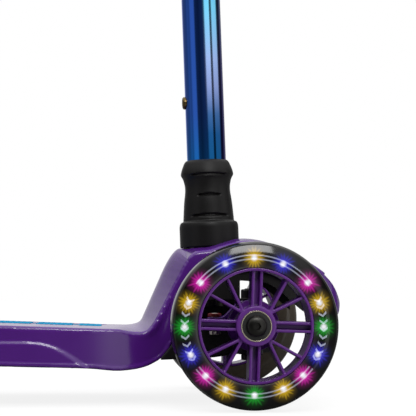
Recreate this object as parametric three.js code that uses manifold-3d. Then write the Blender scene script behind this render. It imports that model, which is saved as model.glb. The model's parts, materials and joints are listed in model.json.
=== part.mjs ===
// Three-wheel kick scooter. Millimetres, +Z up, +X forward, +Y to the rider's left.
// The origin is on the ground, under the middle of the bounding box.
import * as THREE from 'three';
import { mergeVertices } from 'three/addons/utils/BufferGeometryUtils.js';
import Module from 'manifold-3d';

const wasm = await Module();
wasm.setup();

// ---- driving dimensions -------------------------------------------------
const GAP = 0.3;                 // clearance between touching pieces
const SIDES = { left: 1, right: -1 };

const FRONT_X = 209.5;           // front axle
const WHEEL_R = 60;
const TRACK = 210;               // between the middles of the front tyres
const WHEEL_W = 30;
const RIM_R = 41;                // outside of the rim ring
const RIM_WALL = 1.8;
const HUB_R = 14.2;              // outboard hub boss
const HUB_INNER_R = 18.5;        // inboard hub flange
const HUB_HALF = 15;
const RIM_HALF = 14;
const SPOKE_DEPTH = 20;
const SPOKE_OFFSET = 2;          // the spokes sit towards the outboard face
const WHEEL_SIDES = 32;          // facets around a front wheel
const LED_R = [41.6, 51.6];      // inside and outside of the light ring
const LED_W = 6;

const REAR_X = -230;             // rear axle
const REAR_R = 40;
const REAR_W = 38;
const REAR_CORE_R = 27;

const BEARING_R = 11;            // 608 bearing
const BEARING_W = 7;
const AXLE_R = 3.9;

const DECK_HALF = 62;            // half width of the deck
const DECK_REAR = -182;          // rear edge of the standing deck
const DECK_SLOPE = 0.0365;       // the deck falls towards the front
const DECK_TOP = [108.5, 57.2];  // a point on the top line: X, Z
const DECK_SKIN = 4;
const NECK_HALF = 46;            // half width of neck and cowl
const COWL_SKIN = 4;

const LEAN_Z = 44;               // height of the lean pivot
const LEAN_BOLT_R = 5;
const CROWN_R = 22;              // crown of the truck under the pivot housing
const KINGPIN_Y = 75;
const KINGPIN_R = 4;
const KINGPIN_FOOT = 38.2;       // underside of the lug that the kingpin stands in
const KINGPIN_TOP = 86.4;
const BEAM_HALF = 60;            // half width of the truck beam
const BUSH_R = 9;                // red lean bushings
const BUSH_LENGTH = 14;
const PIN_R = 2.5;               // tie rod pins, brake pin and clamp bolt
const ARM_LENGTH = 26;           // kingpin to tie rod pin
const TIE_Z = 58.2;
const TIE_H = 5;

const STEM_LEAN = 0.0365;        // the stem leans back, run over rise
const STEM_BASE = [182.8, 191.7]; // a point on the stem line: X, Z
const TUBE_R = 15.5;
const TUBE_WALL = 1.5;
const POST_R = 13.7;
const UPPER_R = 12.2;
const SLEEVE_Z = 119;            // foot of the rubber neck sleeve
const POST_FOOT = 72;
const POST_TOP = 252;
const LOWER_TUBE = [130, 500];   // foot and top of the lower tube
const UPPER_FOOT = 262;
const BUTTON_Z = 234.6;
const BUTTON_R = 5;
const CLAMP_H = 34;
const BAR_Z = 682;               // handlebar height at its lowest setting
const BAR_LENGTH = 296;
const BAR_R = 11;
const GRIP_LENGTH = 96;
const GRIP_R = 15.5;

const BRAKE_HINGE = [-189, 70.5]; // X, Z
const FENDER_R = [46, 49.5];
const FENDER_W = 46;

// ---- materials ------------------------------------------------------------
const plain = (color, roughness, metalness = 0) =>
  new THREE.MeshStandardMaterial({ color, roughness, metalness });

const PURPLE = plain(0x4a1d80, 0.3);
const RIM_PURPLE = plain(0x5b2e91, 0.4);
const BLACK = plain(0x18181a, 0.5);
const RUBBER = plain(0x1c1c1d, 0.8);
const TYRE = plain(0x2c2b2f, 0.25);
const CYAN = plain(0x1fa3d6, 0.6);
const SLICK = plain(0x24508f, 0.2, 1);
const STEEL = plain(0x9c9890, 0.35, 1);
const DARK_STEEL = plain(0x2a2a2c, 0.35, 1);
const BRASS = plain(0x5c4b28, 0.4, 1);
const RED = plain(0xb2261f, 0.5);
const LIGHT = plain(0xe8e8e0, 0.3);

// ---- solids ---------------------------------------------------------------
/** A three.js geometry as a solid for joining and cutting. */
function solid(geometry) {
  const bare = geometry.clone();
  bare.deleteAttribute('normal');
  bare.deleteAttribute('uv');
  const merged = mergeVertices(bare, 1e-4);
  return new wasm.Manifold(new wasm.Mesh({
    numProp: 3,
    vertProperties: new Float32Array(merged.attributes.position.array),
    triVerts: new Uint32Array(merged.index.array),
  }));
}

/** A solid back as a geometry, flat shaded. */
function surface(body) {
  const mesh = body.getMesh();
  const geometry = new THREE.BufferGeometry();
  geometry.setAttribute('position', new THREE.BufferAttribute(new Float32Array(mesh.vertProperties), 3));
  geometry.setIndex(new THREE.BufferAttribute(new Uint32Array(mesh.triVerts), 1));
  geometry.computeVertexNormals();
  return geometry;
}

/** A closed outline from [u, v] or [u, v, radius] corners. */
function outline(corners) {
  const shape = new THREE.Shape();
  const count = corners.length;
  corners.forEach(([u, v, radius = 0], i) => {
    const here = new THREE.Vector2(u, v);
    const before = new THREE.Vector2(...corners[(i + count - 1) % count]);
    const after = new THREE.Vector2(...corners[(i + 1) % count]);
    const reach = (other) => Math.min(radius, here.distanceTo(other) * 0.45);
    const enter = here.clone().lerp(before, reach(before) / here.distanceTo(before));
    const leave = here.clone().lerp(after, reach(after) / here.distanceTo(after));
    if (i === 0) shape.moveTo(enter.x, enter.y);
    else shape.lineTo(enter.x, enter.y);
    if (radius > 0) shape.quadraticCurveTo(u, v, leave.x, leave.y);
  });
  shape.closePath();
  return shape;
}

/** Outline in X and Z, extruded across Y from y0 to y1. */
function sideSlab(shape, y0, y1, curveSegments = 3) {
  const geometry = new THREE.ExtrudeGeometry(shape, { depth: y1 - y0, bevelEnabled: false, curveSegments });
  return solid(geometry.rotateX(Math.PI / 2).translate(0, y1, 0));
}

/** Outline in X and Y, extruded up from z0 to z1. */
function planSlab(shape, z0, z1, curveSegments = 3) {
  const geometry = new THREE.ExtrudeGeometry(shape, { depth: z1 - z0, bevelEnabled: false, curveSegments });
  return solid(geometry.translate(0, 0, z0));
}

function box(x0, x1, y0, y1, z0, z1) {
  const geometry = new THREE.BoxGeometry(x1 - x0, y1 - y0, z1 - z0);
  return solid(geometry.translate((x0 + x1) / 2, (y0 + y1) / 2, (z0 + z1) / 2));
}

/** Turned piece from [radius, height] points, about local Z. */
function turned(profile, segments = 20) {
  const points = profile.map(([r, h]) => new THREE.Vector2(r, h));
  points.push(points[0].clone());
  return new THREE.LatheGeometry(points, segments).rotateX(Math.PI / 2);
}

/** Solid rod about Z, between two heights. */
function rod(radius, z0, z1, segments = 12) {
  return turned([[0, z0], [radius, z0], [radius, z1], [0, z1]], segments);
}

/** Ring about Z, between two heights. */
function ring(inner, outer, z0, z1, segments = 20) {
  return turned([[inner, z0], [outer, z0], [outer, z1], [inner, z1]], segments);
}

const alongX = (geometry) => geometry.rotateY(Math.PI / 2);
const alongY = (geometry) => geometry.rotateX(-Math.PI / 2);
const at = (geometry, x, y, z) => solid(geometry.translate(x, y, z));

/** Hexagon prism about Z. */
const hexagon = (radius, z0, z1) => rod(radius, z0, z1, 6);

/** Hexagon nut about Z. */
const nut = (radius, bore, z0, z1) => surface(solid(hexagon(radius, z0, z1))
  .subtract(solid(rod(bore, z0 - 1, z1 + 1))));

// ---- scene ------------------------------------------------------------------
const scooter = new THREE.Group();

function add(name, body, material, parent = scooter) {
  const geometry = body.isBufferGeometry ? body : surface(body);
  const mesh = new THREE.Mesh(geometry, material);
  mesh.name = name;
  parent.add(mesh);
  return mesh;
}

const deckTopAt = (x) => DECK_TOP[1] + (DECK_TOP[0] - x) * DECK_SLOPE;
const front = (x) => FRONT_X + x;

// The stem frame: local Z runs up the leaning stem, local zero is at ground height.
const stem = new THREE.Group();
const stemAngle = Math.atan(STEM_LEAN);
stem.position.set(STEM_BASE[0] + STEM_BASE[1] * STEM_LEAN, 0, 0);
stem.rotation.y = -stemAngle;
stem.updateMatrixWorld();
scooter.add(stem);
const inStem = (geometry) => solid(geometry.applyMatrix4(stem.matrixWorld));

// ---- deck, neck and cowl: one purple moulding --------------------------------
const deckSide = outline([
  [DECK_REAR, 34.6, 8],
  [front(-116), 27.2, 14], [front(-97), 24.6, 14], [front(-77), 26.8, 14], [front(-65), 33, 4],
  [front(-57), 43, 6], [front(-57), 74, 5], [front(-45), 84, 5], [front(-36), 101, 5],
  [front(12), 100, 10], [front(29), 90, 6], [front(45), 76.5, 6], [front(58), 67.5, 8], [front(74), 62.5, 8],
  [front(78.5), 76, 8], [front(70), 93, 14], [front(48), 111, 20], [front(20), 123.6, 20],
  [front(-2), 126.6, 10], [front(-26), 119.4, 4], [front(-49.5), 119, 6],
  [front(-58), 108, 10], [front(-75.5), 68, 12], [front(-80), 57.6, 16],
  [front(-112), DECK_TOP[1] + 0.4, 4], [DECK_REAR, deckTopAt(DECK_REAR), 6],
]);
const deckPlan = outline([
  [DECK_REAR, 40, 8], [DECK_REAR + 30, 56, 20], [-60, DECK_HALF, 60], [60, DECK_HALF, 20],
  [front(-112), 60, 20], [front(-86), 55.2, 8], [front(-66), NECK_HALF + 0.2, 6], [front(-20), NECK_HALF, 30],
  [front(40), NECK_HALF, 30], [front(72), 34, 18], [front(79), 14, 16],
  [front(79), -14, 16], [front(72), -34, 18], [front(40), -NECK_HALF, 30],
  [front(-20), -NECK_HALF, 30], [front(-66), -NECK_HALF - 0.2, 6], [front(-86), -55.2, 8],
  [front(-112), -60, 20], [60, -DECK_HALF, 20], [-60, -DECK_HALF, 60], [DECK_REAR + 30, -56, 20],
  [DECK_REAR, -40, 8],
]);
let deck = sideSlab(deckSide, -70, 70).intersect(planSlab(deckPlan, 0, 150));

// fork arms beside the rear wheel
const armInner = REAR_W / 2 + 3;
const armOuter = armInner + 11;
const forkArm = outline([
  [DECK_REAR + 12, 36, 0], [REAR_X - 4, 27, 10], [REAR_X - 15, 34, 10], [REAR_X - 13, 52, 10],
  [REAR_X + 14, 64, 10], [DECK_REAR + 12, 66, 0],
]);
for (const side of Object.values(SIDES)) {
  const [y0, y1] = [side * armInner, side * armOuter].sort((a, b) => a - b);
  deck = deck.add(sideSlab(forkArm, y0, y1));
}

// the cowl is hollow underneath
const cowlHollow = outline([
  [front(-36), 90], [front(-36), 103, 4], [front(-12), 108, 4], [front(-4), 120, 6], [front(20), 118.6, 20],
  [front(46), 107, 20], [front(66), 90, 14], [front(73), 77, 8], [front(71), 60, 0], [front(40), 50, 0],
]);
deck = deck.subtract(sideSlab(cowlHollow, -NECK_HALF + COWL_SKIN, NECK_HALF - COWL_SKIN)
  .intersect(planSlab(outline([
    [front(-40), NECK_HALF - COWL_SKIN, 0], [front(38), NECK_HALF - COWL_SKIN, 20], [front(68), 32, 14],
    [front(74), 12, 10], [front(74), -12, 10], [front(68), -32, 14],
    [front(38), -NECK_HALF + COWL_SKIN, 20], [front(-40), -NECK_HALF + COWL_SKIN, 0],
  ]), 0, 150)));

// ribbed underside: cells between the side walls, open at the bottom
const CELL_PITCH = 42;
const CELL = [38, 31];
for (let column = 0; column < 6; column += 1) {
  const x0 = DECK_REAR + 22 + column * CELL_PITCH;
  const ceiling = deckTopAt(x0 + CELL[0]) - DECK_SKIN - 3;
  for (const row of [-1, 0, 1]) {
    const y = row * (CELL[1] + 3.5);
    deck = deck.subtract(box(x0, x0 + CELL[0], y - CELL[1] / 2, y + CELL[1] / 2, 10, ceiling));
  }
}

// pocket for the head of the lean bolt, the bolt's bore and the stem bore
const leanHeadX = front(-73);
deck = deck.subtract(box(leanHeadX - 18, leanHeadX, -11, 11, 10, LEAN_Z + 12));
deck = deck.subtract(at(alongX(rod(LEAN_BOLT_R + GAP, 0, 40)), leanHeadX - 5, 0, LEAN_Z));
deck = deck.subtract(inStem(rod(POST_R + GAP, POST_FOOT, 200, 20)));
deck = deck.subtract(inStem(rod(23.4 + GAP, SLEEVE_Z - GAP, 200, 22)));

// shallow tray in the top of the deck for the grip mat
const MAT_LENGTH = 252;
const MAT_FRONT = 104;
const MAT_HALF = 25;
const PAD = { first: 17.4, length: 27.2, gap: 5.2, count: 8, rise: 0.2, sunk: 0.9 };
const matFrame = new THREE.Matrix4().makeRotationY(Math.atan(DECK_SLOPE));
matFrame.setPosition(MAT_FRONT, 0, deckTopAt(MAT_FRONT));
const inMat = (geometry) => solid(geometry.applyMatrix4(matFrame));
deck = deck.subtract(inMat(new THREE.BoxGeometry(MAT_LENGTH, 2 * MAT_HALF, 4)
  .translate(-MAT_LENGTH / 2, 0, 2 - PAD.sunk)));

// hinge lugs for the brake
const hinge = { x: BRAKE_HINGE[0], z: BRAKE_HINGE[1] };
for (const side of Object.values(SIDES)) {
  const [y0, y1] = [side * 25, side * 33].sort((a, b) => a - b);
  deck = deck.add(sideSlab(outline([
    [hinge.x - 9, 58], [hinge.x - 7, hinge.z + 6, 6], [hinge.x + 5, hinge.z + 6, 6], [hinge.x + 14, 60],
  ]), y0, y1));
}
deck = deck.subtract(at(alongY(rod(PIN_R + GAP, -40, 40)), hinge.x, 0, hinge.z));
deck = deck.subtract(at(alongY(rod(AXLE_R + GAP, -40, 40)), REAR_X, 0, REAR_R));
add('deck_body', deck, PURPLE);

// ---- grip mat: pads joined by a spine that lies in the tray -------------------
const padFloor = GAP - PAD.sunk;
let mat = inMat(new THREE.BoxGeometry(MAT_LENGTH - 8, 10, 0.6).translate(-MAT_LENGTH / 2, 0, padFloor + 0.3));
const padHalf = MAT_HALF - GAP - 0.7;
let padFront = -3.9;
for (let pad = 0; pad < PAD.count; pad += 1) {
  const padRear = padFront - (pad === 0 ? PAD.first : PAD.length);
  const shape = outline([
    [padRear, -padHalf, 4], [padFront, -padHalf, 4], [padFront, padHalf, 4], [padRear, padHalf, 4],
  ]);
  padFront = padRear - PAD.gap;
  const slab = new THREE.ExtrudeGeometry(shape, {
    depth: PAD.rise - padFloor, bevelEnabled: false, curveSegments: 1,
  });
  mat = mat.add(inMat(slab.translate(0, 0, padFloor)));
}
add('deck_grip_mat', mat, CYAN);

// ---- pivot housing: black moulding under the cowl ------------------------------
const linerHalf = NECK_HALF - COWL_SKIN - GAP;
const linerSide = outline([
  [front(-35.5), 78, 4], [front(-4), 78, 0], [front(-4), 92.5, 0], [front(14), 92.5, 8], [front(27), 85, 8],
  [front(42), 70.5, 8], [front(55), 62, 6], [front(70.5), 60, 6], [front(72.4), 77, 8],
  [front(65.6), 89.5, 14], [front(45.8), 106.5, 20], [front(20), 118.2, 20], [front(-3.7), 119.5, 6],
  [front(-11.8), 107.5, 4], [front(-35.5), 102.6, 4],
]);
const linerHollow = outline([
  [front(0), 60], [front(0), 116, 5], [front(20), 114.6, 20], [front(43), 104, 20], [front(62), 87, 12],
  [front(68), 76, 8], [front(66), 50, 0],
]);
const linerPlan = (inset) => outline([
  [front(-60), NECK_HALF - inset, 0], [front(38), NECK_HALF - inset, 20], [front(67.5), 31.5, 14],
  [front(73.5), 12, 10], [front(73.5), -12, 10], [front(67.5), -31.5, 14],
  [front(38), -NECK_HALF + inset, 20], [front(-60), -NECK_HALF + inset, 0],
]);
let housing = sideSlab(linerSide, -linerHalf, linerHalf)
  .intersect(planSlab(linerPlan(COWL_SKIN + GAP), 0, 150));
housing = housing.subtract(sideSlab(linerHollow, -linerHalf + 3, linerHalf - 3));
// web over the crown of the truck, and the hanger that holds the front of the bolt
const HANGER = [front(9), front(17)];
housing = housing.add(box(front(-35.5), front(-4), -11, 11, LEAN_Z + 14, 90));
housing = housing.add(box(HANGER[0], HANGER[1], -11, 11, LEAN_Z - 10, 117));
housing = housing.subtract(at(alongX(rod(CROWN_R + 1, 0, 70, 36)), front(-60), 0, LEAN_Z));
housing = housing.subtract(at(alongX(rod(LEAN_BOLT_R + GAP, 0, 30)), front(0), 0, LEAN_Z));
housing = housing.subtract(inStem(rod(POST_R + GAP, POST_FOOT - GAP, 200, 20)));
add('pivot_housing', housing, BLACK);

// ---- truck: the beam that carries both front wheels ------------------------------
const beamSide = outline([
  [front(-55.8), 33.6, 2], [front(-25), 35, 0], [front(7.7), 39.5, 4], [front(7.7), 60, 3],
  [front(-52), 60, 3], [front(-54.5), 46, 4],
]);
let beam = sideSlab(beamSide, -BEAM_HALF, BEAM_HALF);
beam = beam.add(at(alongX(rod(CROWN_R, 0, 52, 36)), front(-52), 0, LEAN_Z)
  .subtract(box(front(-70), front(20), -30, 30, 0, 40)));
beam = beam.subtract(box(front(-36), front(-16), -80, 80, TIE_Z - TIE_H / 2 - 1.2, TIE_Z + TIE_H / 2 + 1.2));
const beamLip = outline([[front(-66), 33.2, 2], [front(-50), 33.9], [front(-50), 46], [front(-55.5), 46]]);
for (const side of Object.values(SIDES)) {
  const [lip0, lip1] = [side * 52.5, side * BEAM_HALF].sort((a, b) => a - b);
  beam = beam.add(sideSlab(beamLip, lip0, lip1));
  const [y0, y1] = [side * 55, side * KINGPIN_Y].sort((a, b) => a - b);
  beam = beam.add(box(front(-10), front(7.7), y0, y1, KINGPIN_FOOT, 50));
  beam = beam.add(at(rod(9.5, KINGPIN_FOOT, 50), FRONT_X, side * KINGPIN_Y, 0));
  beam = beam.subtract(at(rod(KINGPIN_R + GAP, 0, 90), FRONT_X, side * KINGPIN_Y, 0));
}
beam = beam.subtract(at(alongX(rod(LEAN_BOLT_R + 1, 0, 80)), front(-70), 0, LEAN_Z));
for (const x of [front(-54.5), front(7.7) - BUSH_LENGTH - GAP]) {
  const [x0, x1] = x < front(-30) ? [x - 8, x + BUSH_LENGTH + GAP] : [x, x + BUSH_LENGTH + 8];
  beam = beam.subtract(at(alongX(rod(BUSH_R + GAP, x0 - x, x1 - x, 20)), x, 0, LEAN_Z));
}
add('truck_beam', beam, BLACK);

const bush = () => alongX(ring(LEAN_BOLT_R + GAP, BUSH_R, 0, BUSH_LENGTH, 20));
add('lean_bushing_rear', bush(), RED).position.set(front(-54.5), 0, LEAN_Z);
add('lean_bushing_front', bush(), RED).position.set(front(7.7) - BUSH_LENGTH, 0, LEAN_Z);
const boltLength = HANGER[1] + 9 - leanHeadX;
add('lean_bolt', alongX(turned([
  [0, -4.6], [8, -4.6], [8, -GAP], [LEAN_BOLT_R, -GAP], [LEAN_BOLT_R, boltLength], [0, boltLength],
], 12)), DARK_STEEL).position.set(leanHeadX, 0, LEAN_Z);
add('lean_nut', alongX(nut(8.5, LEAN_BOLT_R + GAP, GAP, 7)), DARK_STEEL)
  .position.set(HANGER[1], 0, LEAN_Z);

// ---- steering knuckles --------------------------------------------------------------
for (const [name, side] of Object.entries(SIDES)) {
  const knuckleFrame = new THREE.Group();
  knuckleFrame.position.set(FRONT_X, side * KINGPIN_Y, 0);
  scooter.add(knuckleFrame);

  let knuckle = at(rod(9, 50.3, 77, 20), 0, 0, 0);
  const outwards = side > 0 ? 0 : Math.PI;
  const bossLength = TRACK / 2 - HUB_HALF - KINGPIN_Y - 1.2;
  knuckle = knuckle.add(at(alongY(rod(8, 0, bossLength, 20)).rotateZ(outwards), 0, 0, WHEEL_R));
  knuckle = knuckle.add(sideSlab(outline([
    [-2, 70, 0], [-2, 77, 0], [-9, 77, 3], [-20.2, 65.3, 0], [-31.5, 65.3, 0], [-31.5, 61.2, 0],
    [-19, 61.2, 3], [-9, 68, 3],
  ]), -5, 5));
  knuckle = knuckle.subtract(at(rod(KINGPIN_R + GAP, 0, 90), 0, 0, 0));
  knuckle = knuckle.subtract(at(rod(PIN_R + GAP, 0, 90), -ARM_LENGTH, 0, 0));
  knuckle = knuckle.subtract(at(alongY(rod(AXLE_R + GAP, 5, 40)).rotateZ(outwards), 0, 0, WHEEL_R));
  add(`knuckle_${name}`, knuckle, PURPLE, knuckleFrame);

  add(`kingpin_${name}`, turned([
    [0, 34], [6.5, 34], [6.5, KINGPIN_FOOT - GAP], [KINGPIN_R, KINGPIN_FOOT - GAP],
    [KINGPIN_R, KINGPIN_TOP], [0, KINGPIN_TOP],
  ], 12), DARK_STEEL, knuckleFrame);
  add(`kingpin_nut_${name}`, turned([
    [KINGPIN_R + GAP, 77.4], [7.6, 77.4], [7.6, 79], [6.6, 79.2], [6.6, 85], [5.8, 85.8],
    [KINGPIN_R + GAP, 85.8],
  ], 12), BLACK, knuckleFrame);
  const tiePin = add(`tie_pin_${name}`, turned([
    [0, 52.6], [4.4, 52.6], [4.4, TIE_Z - TIE_H / 2 - GAP], [PIN_R, TIE_Z - TIE_H / 2 - GAP],
    [PIN_R, 68.4], [0, 68.4],
  ], 12), STEEL, knuckleFrame);
  tiePin.position.x = -ARM_LENGTH;
  const tieBush = add(`tie_bushing_${name}`, ring(PIN_R + GAP, 5, 65.6, 68.2, 16), RED, knuckleFrame);
  tieBush.position.x = -ARM_LENGTH;
}
let tieRod = box(front(-ARM_LENGTH - 5), front(-ARM_LENGTH + 5), -KINGPIN_Y - 6, KINGPIN_Y + 6,
  TIE_Z - TIE_H / 2, TIE_Z + TIE_H / 2);
for (const side of Object.values(SIDES)) {
  tieRod = tieRod.subtract(at(rod(3.9, 0, 90), front(-ARM_LENGTH), side * KINGPIN_Y, 0));
}
add('tie_rod', tieRod, DARK_STEEL);

// ---- wheels -----------------------------------------------------------------------------
/** Bearing about local Y, centred on y. */
function bearing(name, y, parent) {
  const w = BEARING_W / 2;
  const mesh = add(name, alongY(ring(AXLE_R + GAP, BEARING_R, -w, w, 20)), STEEL, parent);
  mesh.position.y = y;
}

/** Spoke bar about local Y, from the hub to the rim, at an angle in the wheel's plane. */
function spokeBar(angle, from, to, width, depth, shift = 0) {
  const geometry = new THREE.BoxGeometry(to - from, depth, width).translate((from + to) / 2, 0, shift);
  return solid(geometry.rotateY(-angle));
}

/** One front wheel about local Y; `out` is +1 or -1, the side that faces away from the scooter. */
function frontWheel(name, out, parent) {
  const half = WHEEL_W / 2;
  const slot = LED_W / 2 + GAP;
  const tyreInner = RIM_R + GAP;
  add(`front_tyre_${name}`, alongY(turned([
    [tyreInner, -half + 1], [50, -half], [57.4, -half + 2.8], [WHEEL_R, -4],
    [WHEEL_R, 4], [57.4, half - 2.8], [50, half], [tyreInner, half - 1],
    [tyreInner, slot], [LED_R[1] + GAP, slot], [LED_R[1] + GAP, -slot], [tyreInner, -slot],
  ], WHEEL_SIDES)), TYRE, parent);
  const lights = ring(LED_R[0], LED_R[1], -LED_W / 2, LED_W / 2, WHEEL_SIDES);
  add(`led_ring_${name}`, alongY(lights), LIGHT, parent);

  let rim = solid(alongY(ring(RIM_R - RIM_WALL, RIM_R, -RIM_HALF, RIM_HALF, WHEEL_SIDES)));
  const hub = [
    [0, -HUB_HALF], [HUB_INNER_R, -HUB_HALF], [HUB_INNER_R, -3], [HUB_R, 1], [HUB_R, HUB_HALF], [0, HUB_HALF],
  ];
  rim = rim.add(solid(alongY(turned(hub, 20)).rotateX(out > 0 ? 0 : Math.PI)));
  const reach = RIM_R - 0.6;
  let spokes = solid(alongY(ring(9, 13, -5, 5)));
  for (let quarter = 0; quarter < 4; quarter += 1) {
    const angle = quarter * Math.PI / 2;
    for (const shift of [-2.6, 2.6]) spokes = spokes.add(spokeBar(angle, 10, reach, 2.4, SPOKE_DEPTH, shift));
    spokes = spokes.add(spokeBar(angle, 10, reach, 5, SPOKE_DEPTH - 9));
    for (const tilt of [-1, 1]) {
      const leg = new THREE.BoxGeometry(30, SPOKE_DEPTH, 2.4).translate(15, 0, 0).rotateY(tilt * 0.31)
        .translate(12.4, 0, 0).rotateY(-(angle + Math.PI / 4));
      spokes = spokes.add(solid(leg));
    }
  }
  rim = rim.add(spokes.translate([0, out * SPOKE_OFFSET, 0]));
  rim = rim.intersect(solid(alongY(rod(RIM_R, -40, 40, WHEEL_SIDES))));
  rim = rim.subtract(solid(alongY(rod(BEARING_R + GAP, HUB_HALF - BEARING_W - 0.6, 30, 20))));
  rim = rim.subtract(solid(alongY(rod(BEARING_R + GAP, -30, -HUB_HALF + BEARING_W + 0.6, 20))));
  rim = rim.subtract(solid(alongY(rod(8, -30, 30, 20))));
  add(`front_rim_${name}`, rim, RIM_PURPLE, parent);
  for (const [place, y] of [['outer', out], ['inner', -out]]) {
    bearing(`front_bearing_${place}_${name}`, y * (HUB_HALF - BEARING_W / 2 - 0.2), parent);
  }
  const spacerHalf = HUB_HALF - BEARING_W - 0.2 - GAP;
  add(`front_spacer_${name}`, alongY(ring(AXLE_R + GAP, 6, -spacerHalf, spacerHalf, 16)), STEEL, parent);
}

for (const [name, side] of Object.entries(SIDES)) {
  const wheel = new THREE.Group();
  wheel.position.set(FRONT_X, side * TRACK / 2, WHEEL_R);
  scooter.add(wheel);
  frontWheel(name, side, wheel);

  // domed head outboard, with a hexagon socket; the thread ends short of the kingpin
  const head = HUB_HALF + 0.2;
  const tip = -(TRACK / 2 - KINGPIN_Y) + KINGPIN_R + 1.4;
  let bolt = solid(turned([
    [0, tip], [AXLE_R, tip], [AXLE_R, head], [7.4, head], [7.4, head + 1.6], [6, head + 3.4],
    [3.4, head + 4.4], [0, head + 4.4],
  ], 20)).subtract(solid(hexagon(2.9, head + 1, head + 9)));
  bolt = surface(bolt).rotateX(side > 0 ? -Math.PI / 2 : Math.PI / 2);
  add(`front_axle_bolt_${name}`, bolt, DARK_STEEL, wheel);
}

const rearWheel = new THREE.Group();
rearWheel.position.set(REAR_X, 0, REAR_R);
scooter.add(rearWheel);
const rearHalf = REAR_W / 2;
add('rear_tyre', alongY(turned([
  [REAR_CORE_R + GAP, -rearHalf + 1], [34, -rearHalf], [38, -rearHalf + 2.4], [REAR_R, -10],
  [REAR_R, 10], [38, rearHalf - 2.4], [34, rearHalf], [REAR_CORE_R + GAP, rearHalf - 1],
], 28)), TYRE, rearWheel);
let core = solid(alongY(turned([
  [8, -rearHalf + 1.5], [14.5, -rearHalf + 1.5], [15, -5], [REAR_CORE_R - 2.5, -5],
  [REAR_CORE_R - 2, -rearHalf + 2],
  [REAR_CORE_R, -rearHalf + 2], [REAR_CORE_R, rearHalf - 2], [REAR_CORE_R - 2, rearHalf - 2],
  [REAR_CORE_R - 2.5, 5], [15, 5], [14.5, rearHalf - 1.5], [8, rearHalf - 1.5],
], 20)));
for (const side of Object.values(SIDES)) {
  const [y0, y1] = [side * (rearHalf - 1.5 - BEARING_W - 0.6), side * 40].sort((a, b) => a - b);
  core = core.subtract(solid(alongY(rod(BEARING_R + GAP, y0, y1, 20))));
  const name = side > 0 ? 'rear_bearing_left' : 'rear_bearing_right';
  bearing(name, side * (rearHalf - 1.5 - BEARING_W / 2 - 0.2), rearWheel);
}
add('rear_core', core, RIM_PURPLE, rearWheel);
const rearSpacer = rearHalf - 1.5 - BEARING_W - 0.2 - GAP;
add('rear_spacer', alongY(ring(AXLE_R + GAP, 6, -rearSpacer, rearSpacer, 16)), STEEL, rearWheel);
add('rear_axle_bolt', alongY(turned([
  [0, -armOuter - 4], [6.5, -armOuter - 4], [7, -armOuter - GAP], [AXLE_R, -armOuter - GAP],
  [AXLE_R, armOuter + 8], [0, armOuter + 8],
], 12)), DARK_STEEL, rearWheel);
add('rear_axle_nut', alongY(nut(7, AXLE_R + GAP, armOuter + GAP, armOuter + 6.6)), DARK_STEEL, rearWheel);

// ---- rear brake ------------------------------------------------------------------------------
const radians = THREE.MathUtils.degToRad;
/** A point at a radius and an angle about the rear axle, as X and Z. */
const aboutRearAxle = (radius, degrees) => [
  REAR_X + radius * Math.cos(radians(degrees)), REAR_R + radius * Math.sin(radians(degrees)),
];
const fenderShape = new THREE.Shape();
fenderShape.moveTo(...aboutRearAxle(FENDER_R[0], 44));
fenderShape.absarc(REAR_X, REAR_R, FENDER_R[0], radians(44), radians(164), false);
fenderShape.lineTo(REAR_X - 55, REAR_R + 20);
fenderShape.lineTo(REAR_X - 56.7, REAR_R + 24);
fenderShape.lineTo(...aboutRearAxle(FENDER_R[1], 156));
fenderShape.absarc(REAR_X, REAR_R, FENDER_R[1], radians(156), radians(50), true);
fenderShape.lineTo(hinge.x - 8, hinge.z + 6);
fenderShape.lineTo(hinge.x + 3, hinge.z + 6);
fenderShape.lineTo(hinge.x + 6, hinge.z);
fenderShape.lineTo(hinge.x + 2, hinge.z - 5);
fenderShape.lineTo(hinge.x - 6, hinge.z - 4);
fenderShape.closePath();
let fender = sideSlab(fenderShape, -FENDER_W / 2, FENDER_W / 2, 14);
fender = fender.subtract(at(alongY(rod(PIN_R + GAP, -40, 40)), hinge.x, 0, hinge.z));
fender = fender.subtract(box(hinge.x - 9, hinge.x + 9, -10, 10, hinge.z - 9, hinge.z + 4.8));
add('brake_fender', fender, BLACK);
add('brake_pin', alongY(turned([
  [0, -37], [4.5, -37], [4.5, -33 - GAP], [PIN_R, -33 - GAP], [PIN_R, 34.5], [0, 34.5],
], 12)), STEEL).position.set(hinge.x, 0, hinge.z);

add('brake_spring', alongY(ring(PIN_R + GAP, 4.4, -8, 8, 16)), STEEL).position.set(hinge.x, 0, hinge.z);

// ---- stem ---------------------------------------------------------------------------------------
const sleeveProfile = [
  [POST_R + GAP, SLEEVE_Z], [23.4, SLEEVE_Z], [23.4, 136], [22.4, 139.6], [20.2, 141.4], [20, 147], [19, 155],
  [17.9, 163], [17.9, 168], [19.4, 173.6], [21.1, 177.4], [20.2, 181], [17.8, 186], [16.4, 188],
  [TUBE_R + GAP, 188], [TUBE_R + GAP, LOWER_TUBE[0] - GAP], [POST_R + GAP, LOWER_TUBE[0] - GAP],
];
add('neck_sleeve', turned(sleeveProfile, 22), RUBBER, stem);

const throughHole = (radius, z) => solid(new THREE.CylinderGeometry(radius, radius, 20, 20)
  .rotateZ(Math.PI / 2).translate(-TUBE_R, 0, z));
const postWall = solid(ring(POST_R - TUBE_WALL, POST_R, POST_FOOT, POST_TOP, 20));
add('neck_post', postWall.subtract(throughHole(BUTTON_R + GAP, BUTTON_Z)), STEEL, stem);
const lowerWall = solid(ring(TUBE_R - TUBE_WALL, TUBE_R, LOWER_TUBE[0], LOWER_TUBE[1], 22));
add('lower_tube', lowerWall.subtract(throughHole(BUTTON_R + GAP, BUTTON_Z)), SLICK, stem);

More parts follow.
